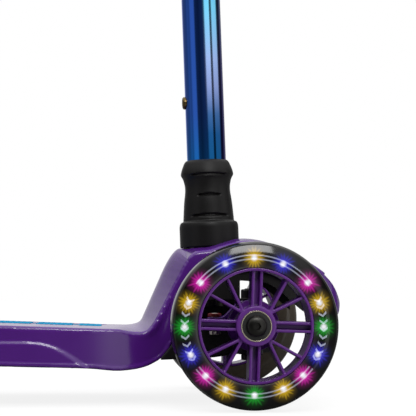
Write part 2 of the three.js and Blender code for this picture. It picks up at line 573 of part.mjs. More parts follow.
// snap button: a domed plug with a foot that stays inside the post
add('release_button', turned([
  [0, 9], [6, 9], [6, 10.3], [BUTTON_R, 10.3], [BUTTON_R, 16.6], [4.2, 17.5], [2.4, 17.9], [0, 17.9],
], 12).rotateY(-Math.PI / 2), BRASS, stem).position.z = BUTTON_Z;
// leaf spring bent into a V, standing in the post behind the button
const leaf = new THREE.Shape();
leaf.moveTo(-4.2, BUTTON_Z + 8);
leaf.lineTo(-5.2, BUTTON_Z + 8);
leaf.lineTo(-5.2, BUTTON_Z - 10);
leaf.lineTo(-1.5, BUTTON_Z - 38);
leaf.lineTo(1.5, BUTTON_Z - 38);
leaf.lineTo(10.8, BUTTON_Z - 10);
leaf.lineTo(9.8, BUTTON_Z - 10);
leaf.lineTo(0.9, BUTTON_Z - 37);
leaf.lineTo(-0.9, BUTTON_Z - 37);
leaf.lineTo(-4.2, BUTTON_Z - 10);
leaf.closePath();
add('button_spring', sideSlab(leaf, -4, 4), STEEL, stem);

// ---- height clamp ------------------------------------------------------------------------------
const clampZ = LOWER_TUBE[1] - CLAMP_H + 4;
const bushFlange = LOWER_TUBE[1] + GAP;
add('tube_bushing', turned([
  [UPPER_R + GAP, LOWER_TUBE[1] - 36], [POST_R, LOWER_TUBE[1] - 36], [POST_R, bushFlange],
  [TUBE_R, bushFlange], [TUBE_R, bushFlange + 2], [UPPER_R + GAP, bushFlange + 2],
], 20), BLACK, stem);
const EAR = { x: -26, half: 9 };
let collar = solid(ring(TUBE_R + GAP, 20.5, clampZ, clampZ + CLAMP_H, 22));
collar = collar.add(box(EAR.x - 5, -17, -EAR.half, EAR.half, clampZ + 6, clampZ + CLAMP_H - 6));
collar = collar.subtract(box(-60, -10, -1.2, 1.2, clampZ - 1, clampZ + CLAMP_H + 1));
const boltZ = clampZ + CLAMP_H / 2;
collar = collar.subtract(at(alongY(rod(PIN_R + GAP, -30, 30)), EAR.x + 1, 0, boltZ));
add('clamp_collar', collar, BLACK, stem);
// the bolt ends in an eye; a pin through the eye carries the cam lever
const camY = -EAR.half - 7.5;
let clampBolt = solid(alongY(turned([
  [0, camY], [PIN_R, camY], [PIN_R, EAR.half + GAP], [5, EAR.half + GAP], [5, EAR.half + 4.4],
  [0, EAR.half + 4.4],
], 12)));
clampBolt = clampBolt.add(at(rod(4.5, -2.7, 2.7), 0, camY, 0)).subtract(at(rod(2 + GAP, -9, 9), 0, camY, 0));
add('clamp_bolt', clampBolt, STEEL, stem).position.set(EAR.x + 1, 0, boltZ);
add('lever_pin', rod(2, -7.4, 7.4), STEEL, stem).position.set(EAR.x + 1, camY, boltZ);
// drawn with the pin at zero and the handle along +Y, then swung round beside the collar
const leverShape = outline([
  [6, -6, 5], [6, 6, 4], [9.5, 22, 12], [9.5, 46, 4], [5.2, 46, 4], [5.2, 24, 10], [1.5, 12, 6], [-6, 5, 5],
  [-6, -6, 5],
]);
let lever = solid(new THREE.ExtrudeGeometry(leverShape, { depth: 13, bevelEnabled: false, curveSegments: 4 })
  .translate(0, 0, -6.5));
lever = lever.subtract(solid(rod(8, -3, 3))).subtract(solid(rod(2 + GAP, -9, 9)));
add('clamp_lever', surface(lever).rotateZ(-Math.PI / 2), BLACK, stem).position.set(EAR.x + 1, camY, boltZ);

// ---- handlebar ------------------------------------------------------------------------------------
const socketTop = BAR_Z - BAR_R - 1;
add('upper_tube', ring(UPPER_R - TUBE_WALL, UPPER_R, UPPER_FOOT, socketTop - GAP, 20), SLICK, stem);
let tee = solid(turned([
  [UPPER_R + GAP, BAR_Z - 46], [15.5, BAR_Z - 46], [16.5, BAR_Z - 43], [17, BAR_Z - 8], [12, BAR_Z + 15],
  [0, BAR_Z + 17], [0, socketTop], [UPPER_R + GAP, socketTop],
], 20));
tee = tee.add(at(alongY(rod(16, -34, 34, 20)), 0, 0, BAR_Z));
tee = tee.subtract(at(alongY(rod(BAR_R + GAP, -40, 40, 20)), 0, 0, BAR_Z));
tee = tee.subtract(solid(rod(UPPER_R + GAP, BAR_Z - 60, socketTop, 20)));
add('tee_joint', tee, BLACK, stem);
const barFrame = new THREE.Group();
barFrame.position.z = BAR_Z;
stem.add(barFrame);
const barHalf = BAR_LENGTH / 2;
add('handlebar_tube', alongY(ring(BAR_R - TUBE_WALL, BAR_R, -barHalf, barHalf, 20)), DARK_STEEL, barFrame);
for (const [name, side] of Object.entries(SIDES)) {
  const end = side * (barHalf - 1);
  const start = side * (barHalf - GRIP_LENGTH);
  const grip = [[BAR_R + GAP, start], [21, start], [21, start + side * 4], [GRIP_R, start + side * 7],
    [GRIP_R, end - side * 3], [GRIP_R - 1, end], [BAR_R + GAP, end]];
  add(`grip_${name}`, alongY(turned(side > 0 ? grip : grip.reverse(), 20)), RUBBER, barFrame);
  const capOut = side * (barHalf + 2);
  const plugR = BAR_R - TUBE_WALL - GAP;
  const plug = [[0, side * (barHalf - 12)], [plugR, side * (barHalf - 12)], [plugR, side * (barHalf + GAP)],
    [14, side * (barHalf + GAP)], [13.4, capOut], [0, capOut]];
  add(`bar_plug_${name}`, alongY(turned(side > 0 ? plug : plug.reverse(), 20)), BLACK, barFrame);
}

export default scooter;
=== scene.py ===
"""Looks of the kick scooter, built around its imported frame. Blender units are metres; shapes are in
millimetres. +X forward, +Y to the rider's left, +Z up."""
import json
import math
from functools import partial

import bpy
import numpy as np
from mathutils import Matrix, Vector


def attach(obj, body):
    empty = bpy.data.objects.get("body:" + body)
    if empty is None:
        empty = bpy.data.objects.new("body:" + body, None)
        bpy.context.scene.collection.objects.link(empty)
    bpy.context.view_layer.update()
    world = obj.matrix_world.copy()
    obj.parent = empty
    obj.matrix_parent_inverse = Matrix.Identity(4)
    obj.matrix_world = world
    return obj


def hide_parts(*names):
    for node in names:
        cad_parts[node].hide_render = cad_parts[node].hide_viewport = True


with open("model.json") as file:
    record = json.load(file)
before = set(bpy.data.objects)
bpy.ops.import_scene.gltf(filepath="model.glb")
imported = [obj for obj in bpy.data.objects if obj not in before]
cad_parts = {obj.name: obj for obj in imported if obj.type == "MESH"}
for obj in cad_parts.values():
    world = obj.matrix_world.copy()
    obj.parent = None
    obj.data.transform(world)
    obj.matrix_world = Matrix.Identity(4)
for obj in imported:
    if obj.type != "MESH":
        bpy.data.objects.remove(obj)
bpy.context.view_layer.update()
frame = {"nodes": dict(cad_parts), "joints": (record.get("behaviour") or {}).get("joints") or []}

MM = 0.001
JOINTS = {joint["name"]: joint for joint in frame["joints"]}


def joint_at(name):
    """Where a joint's pin is, in millimetres."""
    return Vector(JOINTS[name]["pos_m"]) / MM


# ---- places, from the frame ----
FRONT_X = joint_at("front_spin_right").x
WHEEL_Y = joint_at("front_spin_left").y
WHEEL_Z = joint_at("front_spin_left").z
REAR_X, REAR_Z = joint_at("rear_spin").x, joint_at("rear_spin").z
KINGPIN_Y = joint_at("steer_left").y
LEAN_Z = 44
SIDES = {"left": 1, "right": -1}

def at(x, y, z):
    return Matrix.Translation((x, y, z))


def spin(axis, degrees):
    return Matrix.Rotation(math.radians(degrees), 4, axis)


STEM_LEAN = 0.0365  # mm back per mm up
STEM_UP = Vector(JOINTS["bar_height"]["axis"]).normalized()
STEM_FOOT = Vector((182.8, 0, 191.7))  # a point on the stem's line
STEM = Matrix.Translation(STEM_FOOT - STEM_UP * (STEM_FOOT.z / STEM_UP.z)) \
    @ Vector((0, 0, 1)).rotation_difference(STEM_UP).to_matrix().to_4x4()
ALONG_Y = spin("X", -90)  # local Z becomes +Y
ALONG_X = spin("Y", 90)  # local Z becomes +X


# ---- shapes: each is (vertices, faces), in millimetres ----
def rounded(corners, steps=5):
    """A closed outline from [u, v] or [u, v, radius] corners. A round corner has steps + 1 points."""
    points, count = [], len(corners)
    for i, corner in enumerate(corners):
        here = np.array(corner[:2], float)
        radius = corner[2] if len(corner) > 2 else 0
        if radius == 0:
            points.append(here)
            continue
        ends = []
        for other in (corners[i - 1], corners[(i + 1) % count]):
            span = np.array(other[:2], float) - here
            length = np.linalg.norm(span)
            ends.append(here + span / length * min(radius, 0.45 * length))
        for k in range(steps + 1):
            t = k / steps
            points.append((1 - t) ** 2 * ends[0] + 2 * t * (1 - t) * here + t ** 2 * ends[1])
    return np.array(points)


def spaced(points, gap):
    """A closed outline again, with points about gap apart."""
    loop = np.vstack([points, points[:1]])
    run = np.concatenate([[0], np.cumsum(np.linalg.norm(np.diff(loop, axis=0), axis=1))])
    marks = np.linspace(0, run[-1], max(8, round(run[-1] / gap)), endpoint=False)
    return np.column_stack([np.interp(marks, run, loop[:, k]) for k in (0, 1)])


def anticlockwise(outline):
    after = np.roll(outline, -1, 0)
    area = np.sum(outline[:, 0] * after[:, 1] - after[:, 0] * outline[:, 1])
    return outline if area > 0 else outline[::-1]


def inward_of(outline):
    """The inward direction at each point of an anticlockwise outline, long enough to inset its edges by 1."""
    edges = np.roll(outline, -1, 0) - outline
    edges = edges / np.linalg.norm(edges, axis=1)[:, None]
    normals = np.stack([-edges[:, 1], edges[:, 0]], 1)
    before = np.roll(normals, 1, 0)
    total = normals + before
    return total / np.maximum(1 + np.sum(normals * before, axis=1), 0.4)[:, None]


def outward(verts, faces):
    """Turns a closed form's faces outwards."""
    volume = 0
    for face in faces:
        for k in range(1, len(face) - 1):
            volume += np.dot(verts[face[0]], np.cross(verts[face[k]], verts[face[k + 1]]))
    return verts, [face[::-1] for face in faces] if volume < 0 else faces


def turned(corners, segments=96):
    """A closed [radius, height, rounding] outline turned about Z. Points on the axis close the form."""
    angles = np.linspace(0, 2 * math.pi, segments, endpoint=False)
    verts, rings = [], []
    for radius, height in rounded(corners, 4):
        if radius < 1e-6:
            rings.append([len(verts)] * segments)
            verts.append((0, 0, height))
        else:
            rings.append(list(range(len(verts), len(verts) + segments)))
            verts += [(radius * math.cos(a), radius * math.sin(a), height) for a in angles]
    faces = []
    for i in range(len(rings)):
        low, high = rings[i - 1], rings[i]
        if low[0] == low[1] and high[0] == high[1]:
            continue
        for k in range(segments):
            face = [low[k], low[(k + 1) % segments], high[(k + 1) % segments], high[k]]
            faces.append(list(dict.fromkeys(face)))
    return outward(np.array(verts), faces)


def rod(radius, low, high, edge=0.0, segments=48):
    return turned([[0, low], [radius, low, edge], [radius, high, edge], [0, high]], segments)


def ring(inner, outer, low, high, edge=0.3, segments=96):
    return turned([[inner, low, edge], [outer, low, edge], [outer, high, edge], [inner, high, edge]],
                  segments)


def prism(outline, low, high, bevel=0.0):
    """An outline in local X and Y raised from low to high, with round edges of radius bevel."""
    outline = anticlockwise(np.array(outline))
    inward = inward_of(outline)
    levels = [(low, 0), (high, 0)]
    if bevel:
        arc = [math.radians(a) for a in (0, 22.5, 45, 67.5, 90)]
        levels = [(low + bevel * (1 - math.cos(a)), bevel * (1 - math.sin(a))) for a in arc]
        levels += [(high - (level - low), inset) for level, inset in levels[::-1]]
    count = len(outline)
    verts = np.concatenate([np.column_stack([outline + inward * inset, np.full(count, level)])
                            for level, inset in levels])
    faces = [list(range(count))[::-1], list(range(len(verts) - count, len(verts)))]
    for row in range(len(levels) - 1):
        for k in range(count):
            a, b = row * count + k, row * count + (k + 1) % count
            faces.append([a, b, b + count, a + count])
    return verts, faces


def moved(shape, matrix):
    """The shape after a transform. A mirror turns its faces round, so that they still face outwards."""
    verts = np.column_stack([shape[0], np.ones(len(shape[0]))]) @ np.array(matrix).T
    flip = matrix.to_3x3().determinant() < 0
    return verts[:, :3], [face[::-1] for face in shape[1]] if flip else shape[1]


def joined(*shapes):
    verts, faces, offset = [], [], 0
    for shape in shapes:
        verts.append(shape[0])
        faces += [[index + offset for index in face] for face in shape[1]]
        offset += len(shape[0])
    return np.concatenate(verts), faces


SIDE_ON = Matrix(((1, 0, 0, 0), (0, 0, -1, 0), (0, 1, 0, 0), (0, 0, 0, 1)))  # local X, Y, Z to X, Z, -Y


def side_slab(corners, start, end, bevel=0.0):
    """An outline in X and Z, raised along Y."""
    return moved(prism(rounded(corners), -max(start, end), -min(start, end), bevel), SIDE_ON)


def rectangle(x0, y0, x1, y1, radius=0, steps=5):
    return rounded([[x0, y0, radius], [x1, y0, radius], [x1, y1, radius], [x0, y1, radius]], steps)


def block(low, high, bevel=0.0):
    (x0, y0, z0), (x1, y1, z1) = low, high
    return prism(rectangle(x0, y0, x1, y1, 1.2 * bevel), z0, z1, bevel)


def in_scene(name, data):
    obj = bpy.data.objects.new(name, data)
    bpy.context.scene.collection.objects.link(obj)
    return obj


def mesh_of(name, verts, faces):
    mesh = bpy.data.meshes.new(name)
    mesh.from_pydata([tuple(v) for v in verts], [], faces)
    return mesh


def temporary(shape):
    return in_scene("temporary", mesh_of("temporary", *shape))


def evaluated(objects):
    """The first object's shape after its modifiers. The temporary objects are removed."""
    result = objects[0].evaluated_get(bpy.context.evaluated_depsgraph_get()).to_mesh()
    verts = np.zeros(len(result.vertices) * 3)
    result.vertices.foreach_get("co", verts)
    faces = [list(p.vertices) for p in result.polygons]
    for each in objects:
        mesh = each.data
        bpy.data.objects.remove(each)
        bpy.data.meshes.remove(mesh)
    return verts.reshape(-1, 3), faces


def combined(shape, operation, tools):
    objects = [temporary(each) for each in (shape, *tools)]
    for other in objects[1:]:
        modifier = objects[0].modifiers.new("combine", "BOOLEAN")
        modifier.operation, modifier.object, modifier.solver = operation, other, "MANIFOLD"
    return evaluated(objects)


def cut(shape, *tools):
    """shape with each tool taken away."""
    return combined(shape, "DIFFERENCE", tools)


def common(shape, *tools):
    """What shape and the tools share."""
    return combined(shape, "INTERSECT", tools)


def fused(voxel, smoothing, *shapes):
    """Overlapping solids melted into one skin, laid back on their surfaces, with small fillets."""
    obj, guide = temporary(joined(*shapes)), temporary(joined(*shapes))
    melt = obj.modifiers.new("melt", "REMESH")
    melt.mode, melt.voxel_size = "VOXEL", voxel
    soften = obj.modifiers.new("soften", "SMOOTH")
    soften.factor, soften.iterations = 0.5, 2
    lay = obj.modifiers.new("lay", "SHRINKWRAP")
    lay.wrap_method, lay.target = "NEAREST_SURFACEPOINT", guide
    smooth = obj.modifiers.new("smooth", "SMOOTH")
    smooth.factor, smooth.iterations = 0.5, smoothing
    return evaluated([obj, guide])


# ---- node materials ----
def shader_of(made):
    return made.node_tree, made.node_tree.nodes["Principled BSDF"]


def material(name, slot, color, roughness, metallic=0.0, **sockets):
    """A principled material for a slot; sockets are set on the shader itself."""
    made = bpy.data.materials.new(name)
    made.use_nodes = True
    made["slot"] = slot
    shader = shader_of(made)[1]
    shader.inputs["Base Color"].default_value = (*color, 1)
    shader.inputs["Roughness"].default_value = roughness
    shader.inputs["Metallic"].default_value = metallic
    for key, value in sockets.items():
        shader.inputs[key.replace("_", " ")].default_value = value
    return made


def wire(tree, kind, inputs=None, **settings):
    """A new node, with its settings and its inputs: values or other nodes' sockets."""
    node = tree.nodes.new(kind)
    for key, value in settings.items():
        setattr(node, key, value)
    for key, value in (inputs or {}).items():
        if isinstance(value, bpy.types.NodeSocket):
            tree.links.new(value, node.inputs[key])
        else:
            node.inputs[key].default_value = value
    return node


def maths(tree, operation, *values, clamp=False):
    node = wire(tree, "ShaderNodeMath", dict(enumerate(values)), operation=operation, use_clamp=clamp)
    return node.outputs[0]


def coordinates(tree, kind):
    return wire(tree, "ShaderNodeSeparateXYZ", {0: wire(tree, "ShaderNodeTexCoord").outputs[kind]}).outputs


def noise(tree, scale, detail):
    place = wire(tree, "ShaderNodeTexCoord").outputs["Object"]
    return wire(tree, "ShaderNodeTexNoise", {"Vector": place, "Scale": scale, "Detail": detail}).outputs[0]


def length_of(tree, a, b):
    return maths(tree, "SQRT", maths(
        tree, "ADD", maths(tree, "MULTIPLY", a, a), maths(tree, "MULTIPLY", b, b)))


def mixed(tree, blend, factor, first, second):
    node = wire(tree, "ShaderNodeMix", data_type="RGBA", blend_type=blend)
    sockets = [s for s in node.inputs if s.enabled]
    for socket, value in zip(sockets, (factor, first, second)):
        if isinstance(value, bpy.types.NodeSocket):
            tree.links.new(value, socket)
        else:
            socket.default_value = value if socket is sockets[0] else (*value, 1)
    return next(s for s in node.outputs if s.enabled)


def ramp(tree, factor, stops, interpolation="LINEAR"):
    """A colour ramp from (position, colour) stops."""
    node = wire(tree, "ShaderNodeValToRGB", {0: factor})
    node.color_ramp.interpolation = interpolation
    elements = node.color_ramp.elements
    while len(elements) > 1:
        elements.remove(elements[-1])
    for i, (position, color) in enumerate(stops):
        color = color if hasattr(color, "__len__") else (color,) * 3
        element = elements[0] if i == 0 else elements.new(position)
        element.position, element.color = position, (*color, 1)
    return node.outputs[0]


def grain(made, size, depth, wear, mottle):
    """Moulded texture: a bump of a grain size and depth in millimetres. wear is how far the roughness
    drifts each way from place to place, and mottle is the share by which the colour does."""
    tree, shader = shader_of(made)
    broad = noise(tree, 28.0, 2.0)
    bump = wire(tree, "ShaderNodeBump", {
        "Strength": 0.5, "Distance": depth * MM, "Height": noise(tree, 1 / (size * MM), 3.0)})
    tree.links.new(bump.outputs[0], shader.inputs["Normal"])
    base = shader.inputs["Roughness"].default_value
    spread = wire(tree, "ShaderNodeMapRange", {"Value": broad, "From Min": 0.3, "From Max": 0.7,
                                               "To Min": base - wear, "To Max": base + wear})
    tree.links.new(spread.outputs[0], shader.inputs["Roughness"])
    color = list(shader.inputs["Base Color"].default_value)[:3]
    stops = [(0.3, [c * (1 - mottle) for c in color]), (0.7, [c * (1 + mottle) for c in color])]
    tree.links.new(ramp(tree, broad, stops), shader.inputs["Base Color"])
    return made


def surface(name, color, roughness, grained, metallic=0.0, slot="", **sockets):
    """A material whose slot has its name, with the moulded texture that grained gives."""
    return grain(material(name, slot or name, color, roughness, metallic, **sockets), *grained)


PURPLE = surface("deck_plastic", (0.085, 0.011, 0.22), 0.2, (0.9, 0.006, 0.03, 0.04),
                 Coat_Weight=0.2, Coat_Roughness=0.06)
RIM = surface("rim_plastic", (0.11, 0.019, 0.22), 0.28, (0.7, 0.01, 0.05, 0.05))
BLACK = surface("black_plastic", (0.0075, 0.007, 0.007), 0.45, (0.8, 0.05, 0.06, 0.15),
                Specular_IOR_Level=0.25)
RUBBER = surface("rubber_black", (0.0055, 0.005, 0.0052), 0.42, (0.5, 0.03, 0.05, 0.1),
                 Specular_IOR_Level=0.25)
GRIP = surface("grip_rubber", (0.012, 0.012, 0.013), 0.7, (0.6, 0.08, 0.05, 0.1), slot="rubber_black")
CYAN = surface("grip_cyan", (0.0, 0.27, 0.5), 0.8, (0.8, 0.1, 0.05, 0.06), Specular_IOR_Level=0.1)
STEEL = surface("steel", (0.6, 0.56, 0.5), 0.3, (0.4, 0.01, 0.08, 0.08), 1.0)
BEARING = surface("bearing_steel", (0.7, 0.62, 0.5), 0.25, (0.4, 0.01, 0.05, 0.05), 1.0, "steel")
SEAL = surface("bearing_seal", (0.012, 0.012, 0.012), 0.45, (0.5, 0.03, 0.05, 0.1), slot="steel")
DARK_STEEL = surface("dark_steel", (0.035, 0.034, 0.032), 0.3, (0.5, 0.02, 0.08, 0.1), 1.0)
BRASS = surface("brass", (0.16, 0.11, 0.045), 0.35, (0.5, 0.02, 0.08, 0.15), 1.0)
RED = surface("red_urethane", (0.2, 0.008, 0.006), 0.4, (0.8, 0.02, 0.05, 0.06))
REAR_TYRE = surface("rear_tyre_smoke", (0.02, 0.019, 0.021), 0.18, (1.2, 0.01, 0.05, 0.1), slot="tyre_smoke",
                    Coat_Weight=0.3, Coat_Roughness=0.05)

# the lights under the smoked tyre: degrees from the top, the same both ways round, and colour
YELLOW_LED, BLUE_LED = (0.55, 0.35, 0.008), (0.03, 0.025, 0.5)
PINK_LED, GREEN_LED = (0.55, 0.012, 0.34), (0.008, 0.28, 0.02)
LEDS = [(0, YELLOW_LED), (25, BLUE_LED), (51, PINK_LED), (70.5, YELLOW_LED), (90.5, GREEN_LED),
        (114, BLUE_LED), (135, PINK_LED), (155, YELLOW_LED), (180, GREEN_LED)]
LED_RING = 49.0  # radius of their ring
LED_OFF_CENTRE = 0.0015  # metres; in the photograph the ring sits this far behind the axle
LED_SQUASH = 1.02  # and is this much lower than wide
PRINTED_LINES = (50.9, 48.1)  # radii of the two lines beside them
FACE_Y = 0.011  # metres from the wheel's middle; beyond it is the tyre's side face
TYRE_IN, TYRE_WIDE = 41.0, 19.0  # where the tyre starts, and how far it reaches


def tyre_look(name, facing):
    """Smoked tyre: tinted bands with a painted reflection at the outer edge, an inboard face painted lighter
    as painted light, and on the face towards facing (+1 or -1 along Y) lights with a star of rays, printed
    lines and chevrons."""
    made = material(name, "tyre_smoke", (0.03, 0.029, 0.032), 0.1, Specular_IOR_Level=0.35)
    tree, shader = shader_of(made)
    calc = partial(maths, tree)
    times, above, below = (partial(calc, name) for name in ("MULTIPLY", "GREATER_THAN", "LESS_THAN"))
    x, y, z = coordinates(tree, "Object")
    outboard = times(y, float(facing))
    tint_radius = times(length_of(tree, x, z), 1000.0)
    across = calc("ABSOLUTE", calc("ADD", x, LED_OFF_CENTRE))
    radius = times(length_of(tree, across, times(z, LED_SQUASH)), 1000.0)
    angle = times(calc("ARCTAN2", across, z), 180 / math.pi)

    # each place takes the angle and the colour of the light it is nearest to
    share = calc("DIVIDE", angle, 180.0)
    centres, colors, start = [], [], 0.0
    for i, (degrees, color) in enumerate(LEDS):
        centres.append((start, degrees / 180))
        colors.append((start, color))
        if i + 1 < len(LEDS):
            start = (degrees + LEDS[i + 1][0]) / 360
    centre = ramp(tree, share, centres, "CONSTANT")
    color = ramp(tree, share, colors, "CONSTANT")

    # the way from that light, round the ring and outwards, in millimetres
    centre_degrees = times(centre, 180.0)
    off = times(calc("SUBTRACT", angle, centre_degrees), math.radians(LED_RING))
    out = calc("SUBTRACT", radius, LED_RING)
    distance = length_of(tree, off, out)
    turn = calc("ARCTAN2", off, out)
    rays = calc("ABSOLUTE", calc("SINE", calc("MULTIPLY_ADD", turn, 9.0, 0.4)))
    uneven = wire(tree, "ShaderNodeTexNoise", {
        "W": calc("MULTIPLY_ADD", turn, 2.6, times(centre, 40.0)),
        "Scale": 1.0, "Detail": 1.0}, noise_dimensions="1D").outputs[0]
    reach = calc("MULTIPLY_ADD", rays, times(uneven, 5.5), 5.2)

    def within(way, limit):
        """1 where way is 0, down to 0 where it is limit or more."""
        return calc("SUBTRACT", 1.0, calc("DIVIDE", way, limit), clamp=True)

    glow = calc("POWER", within(distance, reach), 0.8)
    haze = calc("POWER", within(distance, 11.0), 1.6)
    core = within(distance, 3.0)

    # printed lines at the top and bottom, chevrons between them, only on the side face
    side = above(outboard, FACE_Y)
    first, second = (within(calc("ABSOLUTE", calc("SUBTRACT", radius, middle)), 0.75)
                     for middle in PRINTED_LINES)
    lines = times(calc("ADD", first, second, clamp=True),
                  calc("ADD", below(angle, 54.0), above(angle, 126.0)))
    out_by = calc("ABSOLUTE", out)
    slant = calc("MULTIPLY_ADD", out_by, 0.9, angle)
    tick = below(calc("FRACT", calc("DIVIDE", slant, 6.2)), 0.3)
    chevrons = times(times(tick, below(out_by, 2.8)), times(above(angle, 64.0), below(angle, 119.0)))
    lines = times(calc("ADD", lines, chevrons, clamp=True), side)

    # colour: tinted bands with a painted reflection at the outer edge, the plain inboard face painted lighter
    # as painted light, and the printed lines over them
    spread = calc("DIVIDE", calc("SUBTRACT", tint_radius, TYRE_IN), TYRE_WIDE, clamp=True)
    # the bands are lighter inside and darkest in the middle; the lighter outer edge is a painted reflection
    base = ramp(tree, spread, [
        (0.0, (0.035, 0.031, 0.036)), (0.12, (0.02, 0.017, 0.02)), (0.26, (0.008, 0.0065, 0.007)),
        (0.7, (0.005, 0.004, 0.005)), (0.8, (0.003, 0.003, 0.003)), (1.0, (0.01, 0.009, 0.008))])
    # painted light: the inboard face's lighter brown-grey stands for that face being lit
    base = mixed(tree, "MIX", below(outboard, -FACE_Y), base, (0.068, 0.056, 0.042))
    base = mixed(tree, "MIX", lines, base, (0.42, 0.45, 0.56))
    tree.links.new(base, shader.inputs["Base Color"])
    strength = times(calc("ADD", glow, times(haze, 0.5)), side)
    shown = mixed(tree, "MIX", times(core, 1.6, clamp=True), color, (0.6, 0.6, 0.64))
    tree.links.new(shown, shader.inputs["Emission Color"])
    tree.links.new(strength, shader.inputs["Emission Strength"])
    return made


TYRES = {side: tyre_look(f"tyre_smoke_{side}", sign) for side, sign in SIDES.items()}
TUBE_FOOT, TUBE_REACH = 0.18, 0.54  # metres: where the coating's colours start, and how far they run
TUBE_RADIUS = 15.5


def slick_look():
    """Mirror-bright coating. Its colour changes up the stem; the change from blue at the back to violet at
    the front is a painted reflection.
    """
    made = material("oil_slick", "oil_slick", (0.05, 0.2, 0.6), 0.1, 1.0)
    tree, shader = shader_of(made)
    calc = partial(maths, tree)
    x, _, z = coordinates(tree, "Object")
    height = calc("MULTIPLY", calc("SUBTRACT", z, TUBE_FOOT), 1 / TUBE_REACH)
    drift = noise(tree, 9.0, 1.5)
    height = calc("MULTIPLY_ADD", calc("SUBTRACT", drift, 0.5), 0.05, height)
    warm = ramp(tree, height, [
        (0.0, (0.006, 0.09, 0.25)), (0.05, (0.012, 0.09, 0.27)), (0.08, (0.05, 0.14, 0.36)),
        (0.12, (0.27, 0.36, 0.7)), (0.165, (0.35, 0.5, 0.88)), (0.24, (0.2, 0.69, 1.0)),
        (0.4, (0.05, 0.35, 0.9)), (0.52, (0.25, 0.2, 0.8)), (0.66, (0.4, 0.45, 0.9)),
        (0.8, (0.15, 0.65, 1.0)), (1.0, (0.2, 0.15, 0.7))])
    cool = ramp(tree, height, [
        (0.0, (0.02, 0.24, 0.8)), (0.08, (0.045, 0.17, 0.78)), (0.5, (0.05, 0.15, 0.75)),
        (0.75, (0.1, 0.1, 0.65)), (1.0, (0.05, 0.2, 0.75))])
    # from -1 at the tube's back to +1 at its front; then the same from 0 to 1
    stem_line = (STEM_FOOT.x + STEM_FOOT.z * STEM_LEAN) * MM
    from_line = calc("MULTIPLY_ADD", z, STEM_LEAN, calc("SUBTRACT", x, stem_line))
    across = calc("MULTIPLY", from_line, 1 / (TUBE_RADIUS * MM))
    side = calc("MULTIPLY_ADD", across, 0.5, 0.5, clamp=True)
    # painted reflection: the back half is painted a plain blue, and the front half carries the colours up the
    # stem, standing for the studio's bands across the tube
    coat_and_reflection = mixed(tree, "MIX", ramp(tree, side, [(0.48, 0), (0.54, 1)]), cool, warm)
    # painted dark reflection: the tube's front edge turns a dark violet
    coat_and_reflection = mixed(tree, "MIX", ramp(tree, side, [(0.84, 0), (0.9, 0.85)]), coat_and_reflection, (0.04, 0.012, 0.28))
    tree.links.new(coat_and_reflection, shader.inputs["Base Color"])
    return made


SLICK = slick_look()


# ---- pieces ----
def piece(name, shape, body, look, nodes=(), place=(0, 0, 0), sharp=38):
    """A finished piece that rides on a body and stands for CAD nodes. shape is in millimetres about place."""
    mesh = mesh_of(name, shape[0] * MM, shape[1])
    mesh.polygons.foreach_set("use_smooth", [True] * len(mesh.polygons))
    mesh.set_sharp_from_angle(angle=math.radians(sharp))
    mesh.materials.append(look)
    obj = in_scene(name, mesh)
    obj.location = Vector(place) * MM
    bpy.context.view_layer.update()
    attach(obj, body)
    if nodes:
        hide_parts(*nodes)


def fine(node, shape, body, look, place=(0, 0, 0), sharp=38):
    """A piece that stands for one CAD node. Its name is the node's, with _fine before the side."""
    name, _, side = node.rpartition("_")
    name = f"{name}_fine_{side}" if side in SIDES else f"{node}_fine"
    piece(name, shape, body, look, [node], place, sharp)


def carried(node, look, bevel):
    """A CAD node that keeps its shape: its own material, and round edges."""
    obj = frame["nodes"][node]
    obj.data.materials.clear()
    obj.data.materials.append(look)
    edge = obj.modifiers.new("round_edges", "BEVEL")
    edge.width, edge.segments, edge.limit_method = bevel * MM, 2, "ANGLE"
    edge.angle_limit = math.radians(40)


# ---- deck ----
def front(x):
    """A place along X, measured from the front axle."""
    return FRONT_X + x


def from_front(*corners):
    return [[front(u), *rest] for u, *rest in corners]


def two_sided(half):
    """Half an outline and its mirror image."""
    return half + [[u, -v, *radius] for u, v, *radius in half[::-1]]


DECK_REAR, DECK_HALF, NECK_HALF, COWL_SKIN = -182, 62, 46, 4
DECK_SLOPE = 0.0365


def deck_top(x):
    return 57.2 + (108.5 - x) * DECK_SLOPE


DECK_SIDE = [
    [DECK_REAR, 34.6, 8], *from_front(
        [-116, 27.2, 14], [-97, 24.6, 14], [-77, 26.8, 14], [-65, 33, 4], [-57, 43, 6], [-57, 74, 5],
        [-45, 84, 5], [-36, 101, 5], [12, 100, 10], [29, 90, 6], [45, 76.5, 6], [58, 67.5, 8],
        [74, 62.5, 8], [78.5, 76, 8], [70, 93, 14], [48, 111, 20], [20, 123.6, 20], [-2, 126.6, 10],
        [-26, 119.4, 4], [-49.5, 119, 6], [-58, 108, 10], [-75.5, 68, 12], [-80, 57.6, 16],
        [-112, 57.6, 4]), [DECK_REAR, deck_top(DECK_REAR), 6]]
DECK_PLAN = [
    [DECK_REAR, 40, 8], [DECK_REAR + 30, 56, 20], [-60, DECK_HALF, 60], [60, DECK_HALF, 20], *from_front(
        [-112, 60, 20], [-86, 55.2, 8], [-66, NECK_HALF + 0.2, 6], [-20, NECK_HALF, 30],
        [40, NECK_HALF, 30], [72, 34, 18], [79, 14, 16])]


def half_width(x):
    plan = rounded(DECK_PLAN, 6)
    return np.interp(x, plan[:, 0], plan[:, 1])


